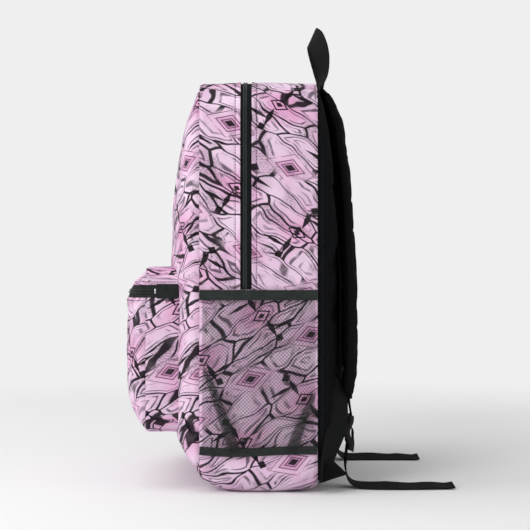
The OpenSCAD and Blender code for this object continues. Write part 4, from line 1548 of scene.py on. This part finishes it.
def lock(side, sign):
    """Ladder lock: two waved rails, three bars and a thumb lip."""
    (x0, y0, z0), (x1, y1, z1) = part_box(f"ladder_lock_{side}")
    cx, cy = (x0 + x1) / 2, (y0 + y1) / 2
    rail_x = (x1 - x0) / 2 - 2 * MM
    parts = []
    for k, way in enumerate((-1, 1)):
        z = np.linspace(z1, z0, 40)
        y = cy + 2.2 * MM * np.sin((z - z0) / (z1 - z0) * 2 * math.pi * 1.25 + 0.6)
        rail = np.stack([cx + way * (rail_x - 0.8 * MM * np.sin((z - z0) / (z1 - z0) * math.pi)), y, z], 1)
        parts.append(sweep(f"lock_rail_{side}_{k}", rail, (0, 1, 0),
                           oval_profile(6.6 * MM, 3.6 * MM, 14, 0.6), PLASTIC))
    x = np.linspace(cx - rail_x, cx + rail_x, 14)
    bars = ((z1 - 3 * MM, 0, 4.2, 4.2, 0), (z0 + 21 * MM, -0.6, 6.4, 2.8, 0.25),
            (z0 + 11.5 * MM, 1.6, 3.2, 2.8, 0), (z0 + 2.6 * MM, 2.0, 6.0, 2.8, -0.5))
    for k, (z, y, tall, deep, tip) in enumerate(bars):
        bow = 0.5 * np.sin(np.linspace(0, math.pi, 14))
        bar = np.stack([x, cy + (y + bow) * MM, z + 0 * x], 1)
        parts.append(sweep(f"lock_bar_{side}_{k}", bar, (0, math.sin(tip), math.cos(tip)),
                           oval_profile(tall * MM, deep * MM, 12, 0.7), PLASTIC))
    whole = merge(*parts)
    whole.name = f"ladder_lock_body_{side}"
    put(whole, f"lock_{side}", f"ladder_lock_{side}", slot="buckle_plastic")


LOCK_X = 98
TAIL_DRIFT = {"left": 4, "right": 15}


def tail(side, sign):
    """Adjuster tail: drops from the lock, turns at the ground, and lies in a slight wave."""
    cx, end, drift = sign * LOCK_X, high(f"strap_tail_{side}", 1) / MM, sign * TAIL_DRIFT[side]
    path = [(cx, 100.6, 54), (cx, 99.4, 46), (cx, 98.2, 34), (cx + 0.1 * drift, 97.6, 22),
            (cx + 0.3 * drift, 100.5, 11), (cx + 0.5 * drift, 108, 4.8), (cx + 0.8 * drift, 122, 3.0),
            (cx + drift, 145, 3.4), (cx + drift, 168, 2.6), (cx + 0.9 * drift, end - 26, 3.2),
            (cx + 0.8 * drift, end - 10, 2.4), (cx + 0.8 * drift, end - 0.5, 3.6)]
    tilt = [0, 0, 0, 0.02, 0.06, 0.12, 0.14, 0.16, 0.1, 0.12, 0.07, 0.08]
    ways = [(1, 0, -t * (1.5 if sign < 0 else 1)) for t in tilt]
    put(webbing(f"tail_{side}_webbing", path, turned(ways, 110), 110), f"tail_{side}", f"strap_tail_{side}",
        slot="webbing")


# webbing through the lock, as depth and height in millimetres: the strap's loop, and the tail's wrap
LOCK_LOOP = ((98.6, 110), (99.2, 98), (98.9, 88), (98.2, 80.5), (99.4, 75.4), (102.2, 75.2), (103.9, 80.5),
             (102.8, 88), (101.6, 98), (101.4, 110))
LOCK_WRAP = ((98.4, 50), (98.3, 57), (99.4, 65.5), (103.0, 67.6), (105.6, 63.5), (105.8, 56), (106.4, 49),
             (105.4, 40))

for side, sign in SIDES:
    cx = sign * LOCK_X
    lock(side, sign)
    path = [(cx, *point) for point in LOCK_LOOP]
    put(webbing(f"lock_loop_{side}", path, (1, 0, 0)), f"strap_{side}", f"buckle_loop_{side}", slot="webbing")
    path = [(cx, *point) for point in LOCK_WRAP]
    put(webbing(f"lock_wrap_{side}", path, (1, 0, 0)), f"lock_{side}", slot="webbing")
    tail(side, sign)
    path = [(sign * 146, 72, 13), (sign * 145.5, 74.5, 30), (sign * 143, 79.5, 50), (sign * 136, 86, 72),
            (sign * 127, 88.5, 95), (sign * 114, 88.5, 122)]
    ways = np.array([(0.93 * sign, -0.3, 0), (0.92 * sign, -0.36, 0), (0.8 * sign, -0.58, 0.05),
                     (0.45 * sign, -0.88, 0.1), (0.5 * sign, -0.84, 0), (0.86 * sign, -0.5, 0)], float)
    put_blend(webbing(f"anchor_webbing_{side}", path, turned(ways, 70)), ("bag", f"strap_{side}"),
              ((0, 0, 20 * MM), (0, 0, 105 * MM)), f"lower_webbing_{side}", slot="webbing")


def anchor(side, sign):
    """Triangular sewn tab at the foot of the side seam."""
    x0, x1 = low(f"anchor_tab_{side}", 0), high(f"anchor_tab_{side}", 0)
    corners = np.array([(66, 12), (66.5, 38), (82, 36), (97, 22)]) * MM
    centre = corners.mean(0)
    bm = bmesh.new()
    outline = np.vstack([corners, corners[:1]])
    rows = []
    for x, k in ((x0 - 0.3 * MM, 0.95), (x0, 1.0), (x1, 1.0), (x1 + 0.4 * MM, 0.93), (x1 + 0.7 * MM, 0.7)):
        if sign < 0:
            x = x0 + x1 - x
        edge = resample(centre + (outline - centre) * k, 41)[:-1]
        rows.append([bm.verts.new((x, y, z)) for y, z in edge])
    loft(bm, rows)
    tab = add_from(bm, f"anchor_{side}", BLACK_WEAVE)
    path = resample(centre + (outline - centre) * 0.78, 60)
    outer = (x1 if sign > 0 else x0) + sign * 0.45 * MM
    line = np.stack([np.full(60, outer), path[:, 0], path[:, 1]], 1)
    seam = stitches(f"anchor_seam_{side}", line, np.tile((float(sign), 0, 0), (60, 1)), BLACK_THREAD)
    put(merge(tab, seam), "bag", f"anchor_tab_{side}", slot="black_fabric")


for side, sign in SIDES:
    anchor(side, sign)


# ---- studio ----

BACKGROUND = rgb(239, 239, 239)
FILL = 0.6


def studio():
    world = bpy.data.worlds.new("studio")
    bpy.context.scene.world = world
    world.use_nodes = True
    tree = world.node_tree
    seen, fill = tree.nodes["Background"], tree.nodes.new("ShaderNodeBackground")
    for shade, strength in ((seen, 1.0), (fill, FILL)):
        shade.inputs["Color"].default_value = BACKGROUND
        shade.inputs["Strength"].default_value = strength
    choose, path = tree.nodes.new("ShaderNodeMixShader"), tree.nodes.new("ShaderNodeLightPath")
    tree.links.new(path.outputs["Is Camera Ray"], choose.inputs[0])
    tree.links.new(fill.outputs[0], choose.inputs[1])
    tree.links.new(seen.outputs[0], choose.inputs[2])
    tree.links.new(choose.outputs[0], tree.nodes["World Output"].inputs["Surface"])

    s = Shader("floor", 0.9)
    s.colour(rgb(250, 251, 250))
    length = s.node("VectorMath", s.place(), operation="LENGTH").outputs["Value"]
    far = s.step(length, 0.45, 1.3)
    glow = s.node("Emission")
    glow.inputs["Color"].default_value = BACKGROUND
    joined = s.node("MixShader")
    s.feed(joined.inputs[0], far)
    s.tree.links.new(s.surface.outputs[0], joined.inputs[1])
    s.tree.links.new(glow.outputs[0], joined.inputs[2])
    s.tree.links.new(joined.outputs[0], s.tree.nodes["Material Output"].inputs["Surface"])
    a = np.linspace(0, 2 * math.pi, 65)
    r = np.array([0, 0.3, 0.8, 2, 6, 20])
    points = np.stack([r[:, None] * np.cos(a), r[:, None] * np.sin(a), 0 * r[:, None] * a], -1)
    floor = grid_object("floor", points, points[..., :2], s.material)

    def area(name, place, target, size, power):
        light = bpy.data.lights.new(name, "AREA")
        light.shape = "DISK"
        light.size = size
        light.energy = power
        lamp = bpy.data.objects.new(name, light)
        lamp.location = place
        lamp.rotation_euler = (Vector(target) - Vector(place)).to_track_quat("-Z", "Y").to_euler()
        link(lamp)

    area("key", (1.7, -1.2, 1.5), (0, 0, 0.25), 1.2, 17)
    area("front", (0.5, -2.0, 0.9), (0, 0, 0.25), 1.0, 8)
    area("top", (0.2, -0.9, 2.2), (0, 0, 0.2), 1.6, 12)
    area("rear", (0.9, 2.0, 1.2), (0, 0, 0.25), 1.4, 3)
    camera = bpy.data.objects.new("camera", bpy.data.cameras.new("camera"))
    camera.location = (1.535, 0.0076, 0.248)
    camera.rotation_euler = (math.radians(90), 0, math.radians(90))
    camera.data.lens = 87
    camera.data.sensor_width = 36
    link(camera)
    bpy.context.scene.camera = camera
    bpy.context.scene.view_settings.view_transform = "Standard"


studio()
